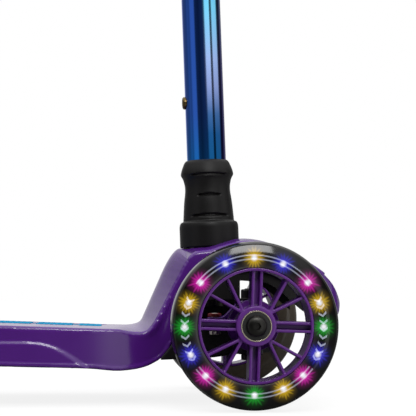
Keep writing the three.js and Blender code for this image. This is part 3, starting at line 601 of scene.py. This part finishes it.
# x from the front axle; the moulding's bulge there between its sides; the round of its edges; how far
# the bulge is a ridge with two flat faces (1) or a smooth curve (0)
CROWN = np.array([
    [-118, 1.0, 2.2, 0], [-96, 1.6, 2.4, 0.3], [-84, 5, 2.2, 0.8], [-76, 9, 2, 1], [-60, 12, 2, 1],
    [-46, 11, 2, 1], [-38, 5, 2.5, 0.6], [-20, 3, 3, 0], [0, 3.4, 4, 0], [30, 3.6, 4, 0],
    [50, 2.6, 3, 0], [62, 0.8, 1.2, 0], [80, 0.5, 0.8, 0]])
CURVE = 2.2  # power of the smooth curve
RIDGE_SOFT, RIDGE_LOW, RIDGE_SPAN = 0.02, 0.1414, 0.8686  # the ridge's roundness; its scale to 0 to 1
EDGE_DEPTH, CROWN_DEPTH = 9, 32  # how deep under the skin the move reaches
CROWN_FROM = 52  # height above which the skin is moved


def crowned(verts):
    """Bulges the upper skin and rounds its edges. The move fades out under the skin."""
    side = spaced(anticlockwise(rounded(DECK_SIDE, 6)), 1.0)
    inward = inward_of(side)
    # 1 where the outline faces up or back, 0 where it faces down
    face = np.clip(np.maximum(-inward[:, 1] * 2, (inward[:, 0] - 0.4) * 4), 0, 1) * (side[:, 1] > CROWN_FROM)
    side, inward, face = side[face > 0], inward[face > 0], face[face > 0]
    away = side[:, 0] - FRONT_X
    crown, edge, ridge = (np.interp(away, CROWN[:, 0], CROWN[:, k]) for k in (1, 2, 3))
    half = half_width(verts[:, 0])
    result = verts.copy()
    for start in range(0, len(verts), 10000):  # in parts, to save memory
        part = slice(start, start + 10000)
        gap = np.linalg.norm(verts[part][:, None, (0, 2)] - side[None], axis=2)
        weight = 1 / (gap ** 2 + 3) ** 3
        weight /= weight.sum(1, keepdims=True)
        nearest = gap.min(1)
        y = np.abs(verts[part, 1])
        share = np.minimum(y / half[part], 1)
        flat = weight @ ridge
        near = (1 - flat) * share ** CURVE
        near += flat * (np.sqrt(share ** 2 + RIDGE_SOFT) - RIDGE_LOW) / RIDGE_SPAN
        edges = weight @ (edge * face)
        lip = np.clip((y - (half[part] - edges)) / np.maximum(edges, 0.1), 0, 1)
        inset = (weight @ (crown * face)) * near * np.clip(1 - nearest / CROWN_DEPTH, 0, 1)
        inset += edges * (1 - np.sqrt(1 - lip ** 2)) * np.clip(1 - nearest / EDGE_DEPTH, 0, 1)
        result[part, 0] += (weight @ inward[:, 0]) * inset
        result[part, 2] += (weight @ inward[:, 1]) * inset
    return result


MAT_HALF = 25
MAT = at(104, 0, deck_top(104)) @ Matrix.Rotation(math.atan(DECK_SLOPE), 4, "Y")
CELL, CELL_HALF, CELL_PITCH_X, CELL_PITCH_Y = 38, 15.5, 42, 34.5  # hollows under the deck


def deck_moulding():
    """Deck, neck and cowl: a side outline carried across, cut to plan and hollowed."""
    body = common(side_slab(DECK_SIDE, -70, 70), prism(rounded(two_sided(DECK_PLAN), 6), 0, 150))
    hollow_side = from_front(
        [-36, 90], [-36, 103, 4], [-12, 108, 4], [-4, 118, 6], [20, 115.6, 20], [46, 104, 20],
        [66, 86, 14], [70, 77, 8], [69, 58], [40, 50])
    wall = NECK_HALF - COWL_SKIN
    hollow_plan = from_front([-40, wall], [38, wall, 20], [66, 31, 14], [72, 10, 10])
    hollow = common(side_slab(hollow_side, -60, 60), prism(rounded(two_sided(hollow_plan)), 0, 150))
    cells = []
    for column in range(6):
        x = DECK_REAR + 22 + column * CELL_PITCH_X
        for row in (-1, 0, 1):
            y = row * CELL_PITCH_Y
            top = deck_top(x + CELL) - 7
            cells.append(block((x, y - CELL_HALF, 10), (x + CELL, y + CELL_HALF, top), 1.5))
    tray = moved(block((-252, -MAT_HALF, -0.4), (0, MAT_HALF, 6)), MAT)
    bolt_x = front(-73)
    bolt_head = block((bolt_x - 18, -11, 10), (bolt_x, 11, 56))
    return cut(body, hollow, joined(*cells), tray, bolt_head,
               moved(rod(5.3, -5, 40), at(bolt_x, 0, LEAN_Z) @ ALONG_X),
               moved(rod(14, 72, 130), STEM), moved(rod(23.7, 118.7, 160), STEM))


HINGE = joint_at("brake_press")
HINGE_LINE = at(HINGE.x, 0, HINGE.z) @ ALONG_Y


def rear_fork():
    """Arms beside the rear wheel with the brake's lugs on them."""
    arm = [[DECK_REAR + 12, 36], [REAR_X - 4, 27, 10], [REAR_X - 15, 34, 10], [REAR_X - 13, 52, 10],
           [REAR_X + 14, 64, 10], [DECK_REAR + 12, 66]]
    lug = [[HINGE.x - 9, 58], [HINGE.x - 7, HINGE.z + 6, 6], [HINGE.x + 5, HINGE.z + 6, 6],
           [HINGE.x + 14, 60]]
    axle_bore = moved(rod(4.2, -40, 40), at(REAR_X, 0, REAR_Z) @ ALONG_Y)
    hinge_bore = moved(rod(2.8, -40, 40), HINGE_LINE)
    shapes = []
    for side in (1, -1):
        shapes.append(cut(side_slab(arm, side * 22, side * 33, 2), axle_bore))
        shapes.append(cut(side_slab(lug, side * 25, side * 33, 1.2), hinge_bore))
    return joined(*shapes)


# the lower panel's top edge: x, z
LEDGE = [[DECK_REAR + 6, 36], [DECK_REAR + 24, 45], [DECK_REAR + 44, 48.6], *from_front(
    [-163, 47.6], [-154, 46.8], [-148, 45.4], [-142, 43.2], [-136, 40], [-130, 36.2], [-124, 32],
    [-118, 27.4], [-112, 22.6])]
PANEL_PROUD, LIP_PROUD, LIP_HEIGHT = 1.3, 0.8, 3.6


def side_relief(verts):
    """Steps on the deck's sides: the lower panel and the bottom lip stand a little proud."""
    side = rounded(DECK_SIDE, 6)
    x, y, z = verts.T
    under = side[side[:, 1] < 44]
    under = under[np.argsort(under[:, 0])]
    bottom = np.interp(x, under[:, 0], under[:, 1])
    ledge = np.interp(x, *np.transpose(LEDGE))
    wall = np.clip((np.abs(y) - (half_width(x) - 1.2)) / 0.6, 0, 1)
    wall *= (x < front(-56)) * (x > DECK_REAR + 4)
    panel = 1 - (1 - np.clip((ledge - z) / 3.2, 0, 1)) ** 2
    lip = np.clip(bottom + LIP_HEIGHT - z, 0, 1)
    push = wall * (PANEL_PROUD * panel + LIP_PROUD * lip)
    return np.column_stack([x, y + np.sign(y) * push, z])


PAD_FRONT, PAD_FIRST, PAD_LENGTH, PAD_GAP, PAD_COUNT = -3.9, 17.4, 27.2, 5.2, 8
PAD_STRIPS = 8  # each pad is built in strips across, so that it follows the deck's bulge
RIB_PITCH, RIB_HALF = 4.3, 0.9


def grip_pads():
    """Ribbed pads in a row, on a strip that joins them."""
    shapes, pad_front = [], PAD_FRONT
    across = np.linspace(1 - MAT_HALF, MAT_HALF - 1, PAD_STRIPS + 1)
    for pad in range(PAD_COUNT):
        length = PAD_LENGTH if pad else PAD_FIRST
        for low, high in zip(across, across[1:]):
            shapes.append(block((pad_front - length, low, -0.35), (pad_front, high, 0.05)))
            for rib in range(round(length / 4.4)):
                x = pad_front - 2.6 - rib * RIB_PITCH
                shapes.append(block((x - RIB_HALF, low, 0), (x + RIB_HALF, high, 0.2)))
        pad_front -= length + PAD_GAP
    shapes.append(block((-248, -5, -0.35), (-5, 5, -0.2)))
    verts, faces = moved(joined(*shapes), MAT)
    return crowned(verts), faces


def deck():
    verts, faces = fused(1.15, 5, deck_moulding(), rear_fork())
    piece("deck_moulding", (side_relief(crowned(verts)), faces), "deck", PURPLE, ["deck_body"], sharp=60)
    piece("deck_grip_pads", grip_pads(), "deck", CYAN, ["deck_grip_mat"])
    carried("pivot_housing", BLACK, 0.8)


# ---- front wheels ----
def bearing(wheel, place, body, centre):
    """A bearing's two races with the seals between them."""
    races = moved(joined(ring(10.1, 11, -3.5, 3.5, 0.25), ring(4.2, 5.6, -3.5, 3.5, 0.3)), ALONG_Y)
    piece(f"{wheel}_race_{place}", races, body, BEARING, [f"{wheel}_bearing_{place}"], centre)
    piece(f"{wheel}_seal_{place}", moved(ring(5.4, 10.3, -3.1, 3.1, 0.2), ALONG_Y), body, SEAL, (), centre)


SPOKE_TURN = 12.4  # a slanting spoke turns about a point this far from the axle


def wheel_rim():
    """One-piece rim about local Y, outboard towards -Y."""
    up = ALONG_Y.inverted()  # local Z of a turned shape to -Y
    rim_ring = turned([[39.1, -13, 0.8], [38.6, -14, 0.5], [41, -14, 0.8], [41, 14, 0.8], [38.7, 14, 0.5],
                       [39.1, 12.6, 0.8]], 160)
    hub = turned([[0, -15], [18.5, -15, 0.8], [18.5, -3, 1], [14.2, 1, 2], [14.2, 15, 1.0], [0, 15]], 96)
    parts = [moved(rim_ring, up), moved(hub, up)]

    def spoke(angle, start, end, wide, low, high, shift=0.0, tilt=0.0):
        shape = prism(rectangle(start, -wide / 2, end, wide / 2), low, high, 0.35)
        return moved(shape, up @ Matrix.Rotation(angle, 4, "Z") @ at(0, shift, 0) @ at(SPOKE_TURN, 0, 0)
                     @ Matrix.Rotation(tilt, 4, "Z") @ at(-SPOKE_TURN, 0, 0))

    for quarter in range(4):
        angle = quarter * math.pi / 2
        parts += [spoke(angle, 10, 39.8, 2.1, -8, 12, shift) for shift in (-2.85, 2.85)]
        parts.append(spoke(angle, 10, 39.8, 5, -3.5, 5))
        parts += [spoke(angle + math.pi / 4, 11, 40.2, 2.1, -8, 12, 0, tilt) for tilt in (-0.31, 0.31)]
    bores = [rod(11.15, 7.4, 30, segments=96), rod(11.15, -30, -7.4, segments=96), rod(8, -30, 30)]
    return cut(fused(0.55, 2, *parts), *[moved(bore, up) for bore in bores])


def about_x(sign):
    """Turns local Z to +Y for the left side and to -Y for the right."""
    return spin("X", -90 * sign)


def front_wheels():
    tyre = moved(turned(two_sided([
        [41.3, -14.1, 0.2], [42.6, -14.5, 0.4], [50.5, -15, 2], [58.2, -12.3, 1.2], [59.4, -8, 3],
        [60, -2, 3]]), 192), ALONG_Y)
    rim = wheel_rim()
    spacer = moved(ring(4.2, 6, -7.4, 7.4), ALONG_Y)
    tilt = spin("Y", 1.9)  # how far the photographed wheel has rolled
    head = 15.2
    bolt = turned([[0, -24.6], [3.9, -24.6, 0.6], [3.9, head], [7.4, head, 0.3], [7.4, head + 1.6, 0.8],
                   [6.4, head + 3.4, 1.5], [3.4, head + 4.4, 1.5], [0, head + 4.4]], 72)
    bolt = cut(bolt, rod(2.9, head + 1.4, head + 9, segments=6))
    for side, sign in SIDES.items():
        out = Matrix.Scale(-1, 4, (0, 1, 0)) if sign > 0 else Matrix.Identity(4)
        hub = Vector((FRONT_X, sign * WHEEL_Y, WHEEL_Z))
        body = f"front_wheel_{side}"
        piece(f"front_tyre_fine_{side}", tyre, body, TYRES[side],
              [f"front_tyre_{side}", f"led_ring_{side}"], hub)
        fine(f"front_rim_{side}", moved(rim, out @ tilt), body, RIM, hub, 50)
        for place, y in (("outer", sign), ("inner", -sign)):
            bearing("front", f"{place}_{side}", body, hub + Vector((0, y * 11.3, 0)))
        fine(f"front_spacer_{side}", spacer, body, STEEL, hub)
        fine(f"front_axle_bolt_{side}", moved(bolt, about_x(sign)), f"knuckle_{side}", DARK_STEEL, hub)


# ---- truck and knuckles ----
KINGPIN_BORE = 4.3
TIE_X, TIE_BORE = -26, 2.8  # the tie pins, from the kingpins


def truck():
    lean_line = at(FRONT_X, 0, LEAN_Z) @ ALONG_X
    beam = side_slab(from_front([-55.8, 33.6, 2], [-25, 35], [7.7, 39.5, 4], [7.7, 60, 3], [-52, 60, 3],
                                [-54.5, 46, 4]), -60, 60, 1.5)
    crown = cut(moved(rod(22, -52, 0, 1.0, 96), lean_line), block((front(-70), -30, 0), (front(20), 30, 40)))
    lip = from_front([-66, 33.2, 1], [-50, 33.9], [-50, 46], [-55.5, 46])
    ends, bores = [], []
    for sign in SIDES.values():
        kingpin = at(FRONT_X, sign * KINGPIN_Y, 0)
        ends.append(side_slab(lip, sign * 52.5, sign * 60, 0.8))
        low, high = sorted((sign * 55, sign * KINGPIN_Y))
        ends += [block((front(-10), low, 38.2), (front(7.7), high, 50), 0.8),
                 moved(rod(9.5, 38.2, 50, 0.8), kingpin)]
        bores.append(moved(rod(KINGPIN_BORE, 0, 90), kingpin))
    bores += [block((front(-36), -80, 54.5), (front(-16), 80, 61.9)), moved(rod(6, -70, 10), lean_line),
              moved(rod(9.3, -64, -40.2), lean_line), moved(rod(9.3, -6.6, 20), lean_line)]
    fine("truck_beam", cut(fused(1.0, 2, beam, crown, *ends), *bores), "truck", BLACK)
    bush = moved(ring(5.3, 9, 0, 14, 0.8), ALONG_X)
    for place, x in (("rear", -54.5), ("front", -6.3)):
        piece(f"lean_bush_{place}", bush, "truck", RED, [f"lean_bushing_{place}"], (front(x), 0, LEAN_Z))
    bolt = turned([[0, -4.6], [8, -4.6, 1], [8, -0.3], [5, -0.3], [5, 99, 1], [0, 99]], 60)
    fine("lean_bolt", moved(bolt, ALONG_X), "deck", DARK_STEEL, (front(-73), 0, LEAN_Z))
    nut = cut(rod(8.5, 0.3, 7, 0.6, 6), rod(5.3, -1, 9))
    fine("lean_nut", moved(nut, ALONG_X), "deck", DARK_STEEL, (front(17), 0, LEAN_Z))


def knuckles():
    barrel = rod(9, 50.3, 77, 0.9, 72)
    arm = side_slab([[-2, 68], [-2, 77], [-9, 77, 3], [-20.2, 65.3, 3], [-31.5, 65.3, 1], [-31.5, 61.2, 1],
                     [-19, 61.2, 3], [-9, 68, 3]], -5, 5, 0.8)
    kingpin = turned([[0, 34], [6.5, 34, 1], [6.5, 37.9, 0.5], [4, 37.9], [4, 86.4, 1], [0, 86.4]], 60)
    nut = turned([[KINGPIN_BORE, 77.4], [7.6, 77.4, 0.4], [7.6, 79, 0.4], [6.6, 79.2, 0.3], [6.6, 85, 0.8],
                  [5.8, 85.8, 0.5], [KINGPIN_BORE, 85.8]], 60)
    tie_pin = turned([[0, 52.6], [4.4, 52.6, 0.6], [4.4, 55.4, 0.4], [2.5, 55.4], [2.5, 68.4, 0.5],
                      [0, 68.4]], 48)
    for side, sign in SIDES.items():
        place = Vector((FRONT_X, sign * KINGPIN_Y, 0))
        tie = place + Vector((TIE_X, 0, 0))
        body = f"knuckle_{side}"
        axle = at(0, 0, WHEEL_Z) @ about_x(sign)
        boss = moved(rod(8, 0, WHEEL_Y - 15 - KINGPIN_Y - 1.2, 0.8, 60), axle)
        shape = cut(fused(0.6, 2, barrel, arm, boss), rod(KINGPIN_BORE, 0, 90),
                    moved(rod(TIE_BORE, 0, 90), at(TIE_X, 0, 0)), moved(rod(4.2, 5, 40), axle))
        fine(f"knuckle_{side}", shape, body, PURPLE, place)
        fine(f"kingpin_{side}", kingpin, "truck", DARK_STEEL, place)
        fine(f"kingpin_nut_{side}", nut, "truck", BLACK, place)
        fine(f"tie_pin_{side}", tie_pin, body, STEEL, tie)
        piece(f"tie_bush_{side}", ring(TIE_BORE, 5, 65.6, 68.2, 0.7, 60), body, RED,
              [f"tie_bushing_{side}"], tie)
    bar = prism(rectangle(-5, -81, 5, 81, 5), 55.7, 60.7, 0.7)
    bar = cut(bar, *[moved(rod(3.9, 0, 90), at(0, sign * KINGPIN_Y, 0)) for sign in SIDES.values()])
    fine("tie_rod", bar, "tie_rod", DARK_STEEL, (front(TIE_X), 0, 0))


# ---- rear wheel and brake ----
def rear_wheel():
    axle = Vector((REAR_X, 0, REAR_Z))
    tyre = turned(two_sided([[27.3, -18, 0.5], [34, -19, 3], [38, -16.6, 3], [40, -10, 4]]), 160)
    fine("rear_tyre", moved(tyre, ALONG_Y), "rear_wheel", REAR_TYRE, axle)
    core = turned(two_sided([[8, -17.5], [14.5, -17.5, 0.8], [15, -5, 1.5], [24.5, -5, 1.5], [25, -17, 0.8],
                             [27, -17, 0.5]]), 120)
    ribs = [moved(block((13, -1.2, -15), (26, 1.2, 15), 0.4), Matrix.Rotation(k * math.pi / 3, 4, "Z"))
            for k in range(6)]
    core = cut(fused(0.6, 2, core, *ribs), rod(11.3, 9.9, 30, segments=72), rod(11.3, -30, -9.9, segments=72),
               rod(8, -30, 30))
    fine("rear_core", moved(core, ALONG_Y), "rear_wheel", RIM, axle, 50)
    for side, sign in SIDES.items():
        bearing("rear", side, "rear_wheel", axle + Vector((0, sign * 13.8, 0)))
    fine("rear_spacer", moved(ring(4.2, 6, -10, 10), ALONG_Y), "rear_wheel", STEEL, axle)
    bolt = turned([[0, -37], [6.5, -37, 1.5], [7, -33.3, 0.3], [3.9, -33.3], [3.9, 41, 0.6], [0, 41]], 60)
    fine("rear_axle_bolt", moved(bolt, ALONG_Y), "deck", DARK_STEEL, axle)
    nut = cut(rod(7, 33.3, 39.6, 0.6, 6), rod(4.2, 30, 45))
    fine("rear_axle_nut", moved(nut, ALONG_Y), "deck", DARK_STEEL, axle)


def brake():
    def around(radius, degrees):
        """A point round the rear axle, counted from straight ahead."""
        angle = math.radians(degrees)
        return [REAR_X + radius * math.cos(angle), REAR_Z + radius * math.sin(angle)]

    inner = [around(46, a) for a in range(44, 165, 4)]
    tail = [[REAR_X - 55, REAR_Z + 20], [REAR_X - 56.7, REAR_Z + 24]]
    outer = [around(49.5, a) for a in range(156, 49, -4)]
    knuckle = [[HINGE.x - 8, HINGE.z + 6], [HINGE.x + 3, HINGE.z + 6], [HINGE.x + 6, HINGE.z],
               [HINGE.x + 2, HINGE.z - 5], [HINGE.x - 6, HINGE.z - 4]]
    shape = moved(prism(np.array(inner + tail + outer + knuckle), -23, 23, 1.0), SIDE_ON)
    shape = cut(shape, moved(rod(2.8, -40, 40), HINGE_LINE),
                block((HINGE.x - 9, -10, HINGE.z - 9), (HINGE.x + 9, 10, HINGE.z + 4.8)))
    bar = prism(rectangle(-1.2, -17, 1.2, 17, 1, 3), -0.8, 0.8, 0.4)
    treads = []
    for a in (108, 116, 124, 132, 140):
        x, z = around(49.6, a)
        treads.append(moved(bar, at(x, 0, z) @ spin("Y", 90 - a)))
    fine("brake_fender", joined(shape, *treads), "brake", BLACK)
    pin = turned([[0, -37], [4.5, -37, 1.2], [4.5, -33.3, 0.3], [2.5, -33.3], [2.5, 34.5, 0.6],
                  [0, 34.5]], 48)
    fine("brake_pin", moved(pin, ALONG_Y), "deck", STEEL, HINGE)
    coil = joined(*[ring(2.8, 4.2, -7.6 + k * 1.9, -6.0 + k * 1.9, 0.75, 40) for k in range(8)])
    fine("brake_spring", moved(coil, ALONG_Y), "deck", STEEL, HINGE)


# ---- stem: heights are along the stem's line ----
def on_stem(node, shape, body, look, sharp=38):
    fine(node, moved(shape, STEM), body, look, sharp=sharp)


# level, half length along X, thickness and depth of each hollow in the sleeve's sides
HOLLOWS = [(176.2, 15, 1.2, 1.5), (160.2, 10, 1.3, 1.6), (144, 15.5, 1.5, 1.7)]
SLEEVE_BORE = 16.5  # the sleeve's inner face is inside this radius


def pressed(radius, height, along):
    """How deep the hollows are at a place on the sleeve's outer face."""
    total = 0.0
    for level, half, thick, depth in HOLLOWS:
        lens = 1 - (along / half) ** 2
        if lens > 0:
            curve = level - 0.4 * (along / half) ** 2
            drop = max(0.0, 1 - ((height - curve) / (thick * (0.4 + 0.6 * lens))) ** 2)
            total += depth * drop * min(1, lens * 3)
    return total if radius > SLEEVE_BORE else 0.0


def sleeve():
    """Rubber neck sleeve with lens-shaped hollows pressed into its sides."""
    profile = spaced(rounded([
        [14, 119], [23.4, 119, 0.8], [23.4, 135.6, 1.2], [22.6, 138.6, 1.2], [20.2, 139.6, 0.4],
        [20, 143, 1], [19.1, 155, 4], [17.9, 163, 3], [17.9, 168, 3], [19.2, 173.4, 1.5],
        [21.1, 176.6, 1.2], [20.3, 180.5, 3], [17.9, 186.4, 2], [16.3, 188, 0.5], [15.8, 188],
        [15.8, 129.7], [14, 129.7]], 4), 0.6)
    segments = 200
    verts = []
    for radius, height in profile:
        for a in np.linspace(0, 2 * math.pi, segments, endpoint=False):
            r = radius - pressed(radius, height, radius * abs(math.cos(a)))
            verts.append((r * math.cos(a), r * math.sin(a), height))
    count = len(profile)
    faces = []
    for i in range(count):
        for k in range(segments):
            low, high = (i - 1) % count * segments, i * segments
            faces.append([low + k, low + (k + 1) % segments, high + (k + 1) % segments, high + k])
    return outward(np.array(verts), faces)


def stem():
    on_stem("neck_sleeve", sleeve(), "deck", RUBBER, sharp=50)
    backward = at(0, 0, 234.6) @ spin("Y", -90)  # at the snap button
    hole = moved(rod(5.3, 5, 30, segments=60), backward)
    post = cut(ring(12.2, 13.7, 72, 252, 0.3), hole)
    on_stem("neck_post", post, "deck", DARK_STEEL)
    tube = cut(ring(14, TUBE_RADIUS, 130, 500, 0.3, 128), hole)
    on_stem("lower_tube", tube, "deck", SLICK)
    button = turned([[0, 9], [6, 9], [6, 10.3], [5, 10.3], [5, 16.6, 0.8], [4.2, 17.5, 0.8],
                     [2.4, 17.9, 0.8], [0, 17.9]], 60)
    on_stem("release_button", moved(button, backward), "release_button", BRASS)
    carried("button_spring", STEEL, 0.15)
    bushing = turned([[12.5, 464], [13.7, 464, 0.3], [13.7, 500.3], [TUBE_RADIUS, 500.3],
                      [TUBE_RADIUS, 502.3, 0.8], [12.5, 502.3, 0.4]], 96)
    on_stem("tube_bushing", bushing, "deck", BLACK)


def clamp():
    eye = at(0, -16.5, 0)
    bolt_place, pin_place = at(-25, 0, 487), at(-25, -16.5, 487)
    pin_bore = rod(2.3, -9, 9)
    band = turned([[15.8, 470, 0.4], [20.5, 470, 1.4], [20.5, 504, 1.4], [15.8, 504, 0.4]], 96)
    ears = block((-31, -9, 476), (-17, 9, 498), 1.5)
    collar = cut(fused(0.7, 2, band, ears), block((-60, -1.2, 460), (-10, 1.2, 510)),
                 moved(rod(2.8, -30, 30), bolt_place @ ALONG_Y))
    on_stem("clamp_collar", collar, "deck", BLACK)
    bolt = turned([[0, -16.5], [2.5, -16.5], [2.5, 9.3], [5, 9.3, 0.4], [5, 13.4, 1], [0, 13.4]], 60)
    bolt = fused(0.4, 1, moved(bolt, ALONG_Y), moved(rod(4.5, -2.7, 2.7, 0.5), eye))
    bolt = cut(bolt, moved(pin_bore, eye))
    on_stem("clamp_bolt", moved(bolt, bolt_place), "deck", STEEL)
    on_stem("lever_pin", moved(rod(2, -7.4, 7.4, 0.4), pin_place), "deck", STEEL)
    lever = prism(rounded([[6, -6, 5], [6, 6, 4], [9.5, 22, 12], [9.5, 46, 4], [5.2, 46, 4], [5.2, 24, 10],
                           [1.5, 12, 6], [-6, 5, 5], [-6, -6, 5]]), -6.5, 6.5, 1.3)
    lever = moved(cut(lever, rod(8, -3, 3), pin_bore), pin_place @ spin("Z", -90))
    on_stem("clamp_lever", lever, "clamp_lever", BLACK)


def handlebar():
    bar = 682  # height of the handlebar
    body = "handlebar"
    on_stem("upper_tube", ring(10.7, 12.2, 262, bar - 12.3, 0.3, 128), body, SLICK)
    across = at(0, 0, bar) @ ALONG_Y
    tee = turned([[0, bar - 46], [15.5, bar - 46, 0.8], [16.5, bar - 43, 1], [17, bar - 8, 5],
                  [12, bar + 15, 5], [0, bar + 17]], 96)
    tee = fused(0.8, 3, tee, moved(rod(16, -34, 34, 1.5, 96), across))
    tee = cut(tee, moved(rod(11.3, -40, 40, segments=96), across), rod(12.5, bar - 60, bar - 12, segments=96))
    on_stem("tee_joint", tee, body, BLACK)
    on_stem("handlebar_tube", moved(ring(9.5, 11, -148, 148, 0.3), across), body, DARK_STEEL)
    ribs = []
    for k in range(13):
        y = 62 + k * 6.2
        ribs += [[15.5, y, 0.5], [15.5, y + 4.4, 0.5], [14.7, y + 4.9, 0.3], [14.7, y + 5.7, 0.3]]
    grip = turned([[11.3, 52], [21, 52, 1.4], [21, 56, 1.4], [15.5, 59, 1.5], *ribs, [15.5, 143, 1],
                   [14.8, 147, 1], [11.3, 147]], 96)
    plug = turned([[0, 136], [9.2, 136], [9.2, 148.3], [14, 148.3, 0.4], [13.4, 150, 1.2], [0, 150]], 72)
    for side, sign in SIDES.items():
        mirror = Matrix.Scale(sign, 4, (0, 0, 1))
        on_stem(f"grip_{side}", moved(grip, across @ mirror), body, GRIP)
        on_stem(f"bar_plug_{side}", moved(plug, across @ mirror), body, BLACK)


# ---- stage ----
def camera():
    """The photograph's viewpoint: 1 m from the near wheel, turned a little to the right and up."""
    data = bpy.data.cameras.new("camera")
    data.lens, data.sensor_width, data.clip_end = 110.8, 36, 50
    obj = in_scene("camera", data)
    obj.location = Vector((FRONT_X - 99.74, -1015.4, 88.93)) * MM
    yaw, pitch = math.radians(4.19), math.radians(3.44)
    look = Vector((math.sin(yaw) * math.cos(pitch), math.cos(yaw) * math.cos(pitch), math.sin(pitch)))
    obj.rotation_euler = look.to_track_quat("-Z", "Y").to_euler()
    bpy.context.scene.camera = obj


def blank_tree(owner):
    """The node tree of a material or a world, emptied."""
    owner.use_nodes = True
    owner.node_tree.nodes.clear()
    return owner.node_tree


def seen_or_lit(tree, seen, lit):
    """One look for the camera and another as a light or a reflection, on the stage only."""
    path = wire(tree, "ShaderNodeLightPath").outputs["Is Camera Ray"]
    return wire(tree, "ShaderNodeMixShader", {0: path, 1: lit, 2: seen}).outputs[0]


def floor():
    """White to the camera, with a faint contact shadow; a dim grey floor to the parts' gloss."""
    paper = bpy.data.materials.new("floor_paper")
    paper["slot"] = "floor"
    tree = blank_tree(paper)
    white = wire(tree, "ShaderNodeEmission", {"Color": (1, 1, 1, 1), "Strength": 0.86}).outputs[0]
    matt = wire(tree, "ShaderNodeBsdfDiffuse", {"Color": (0.16, 0.16, 0.16, 1)}).outputs[0]
    both = wire(tree, "ShaderNodeAddShader", {0: white, 1: matt}).outputs[0]
    dim = wire(tree, "ShaderNodeBsdfDiffuse", {"Color": (0.22, 0.22, 0.22, 1)}).outputs[0]
    wire(tree, "ShaderNodeOutputMaterial", {0: seen_or_lit(tree, both, dim)})
    # it starts close in front of the wheels, so that the near wheel's side doesn't mirror it
    mesh = mesh_of("floor", [(-6, -0.25, 0), (6, -0.25, 0), (6, 6, 0), (-6, 6, 0)], [[0, 1, 2, 3]])
    mesh.materials.append(paper)
    obj = in_scene("floor", mesh)
    obj.location.z = -0.0005


def softbox():
    """The light over the wheels that shows as a pale patch on the tyre's shoulder."""
    data = bpy.data.lights.new("softbox", "AREA")
    data.shape, data.size, data.size_y, data.energy = "RECTANGLE", 0.58, 0.3, 6
    obj = in_scene("softbox", data)
    obj.location = (FRONT_X * MM + 0.09, -1.15, 1.08)
    obj.rotation_euler = (math.radians(50), 0, 0)
    obj.visible_camera = False


# brightness of the studio by compass angle: 0 is straight in front (-Y), 90 is +X
PANELS = [(-180, 0.85), (-164, 0.75), (-152, 0.42), (-142, 0.2), (-108, 0.2), (-98, 0.3), (-84, 0.25),
          (-72, 0.5), (-52, 0.5), (-44, 0.08), (-24, 0.05), (-10, 0.08), (4, 0.1), (10, 0.2), (16, 1.0),
          (41, 1.05), (45, 0.1), (55, 0.1), (60, 0.92), (90, 0.85), (98, 0.08), (118, 0.06), (134, 0.3),
          (170, 0.35), (180, 0.85)]


def studio():
    """White room for the camera. Reflections see soft panels, and a bright ceiling."""
    world = bpy.data.worlds.new("studio")
    bpy.context.scene.world = world
    tree = blank_tree(world)
    calc = partial(maths, tree)
    x, y, z = coordinates(tree, "Generated")
    compass = calc("ARCTAN2", x, calc("MULTIPLY", y, -1.0))
    turn = calc("MULTIPLY_ADD", compass, 1 / (2 * math.pi), 0.5)
    panels = ramp(tree, turn, [(0.5 + degrees / 360, value) for degrees, value in PANELS])
    height = calc("MULTIPLY_ADD", z, 0.5, 0.5)
    above = ramp(tree, height, [(0.0, 0.4), (0.4, 0.1), (0.5, 0.0), (0.7, 0.0), (0.86, 1.3), (1.0, 1.5)])
    fade = ramp(tree, height, [(0.62, 1), (0.8, 0.3)])
    total = mixed(tree, "ADD", 1.0, mixed(tree, "MULTIPLY", 1.0, panels, fade), above)
    seen = wire(tree, "ShaderNodeBackground", {"Color": (1, 1, 1, 1)}).outputs[0]
    light = wire(tree, "ShaderNodeBackground", {"Color": total}).outputs[0]
    wire(tree, "ShaderNodeOutputWorld", {0: seen_or_lit(tree, seen, light)})


deck()
front_wheels()
truck()
knuckles()
rear_wheel()
brake()
stem()
clamp()
handlebar()
camera()
floor()
softbox()
studio()
bpy.context.scene.view_settings.view_transform = "Standard"
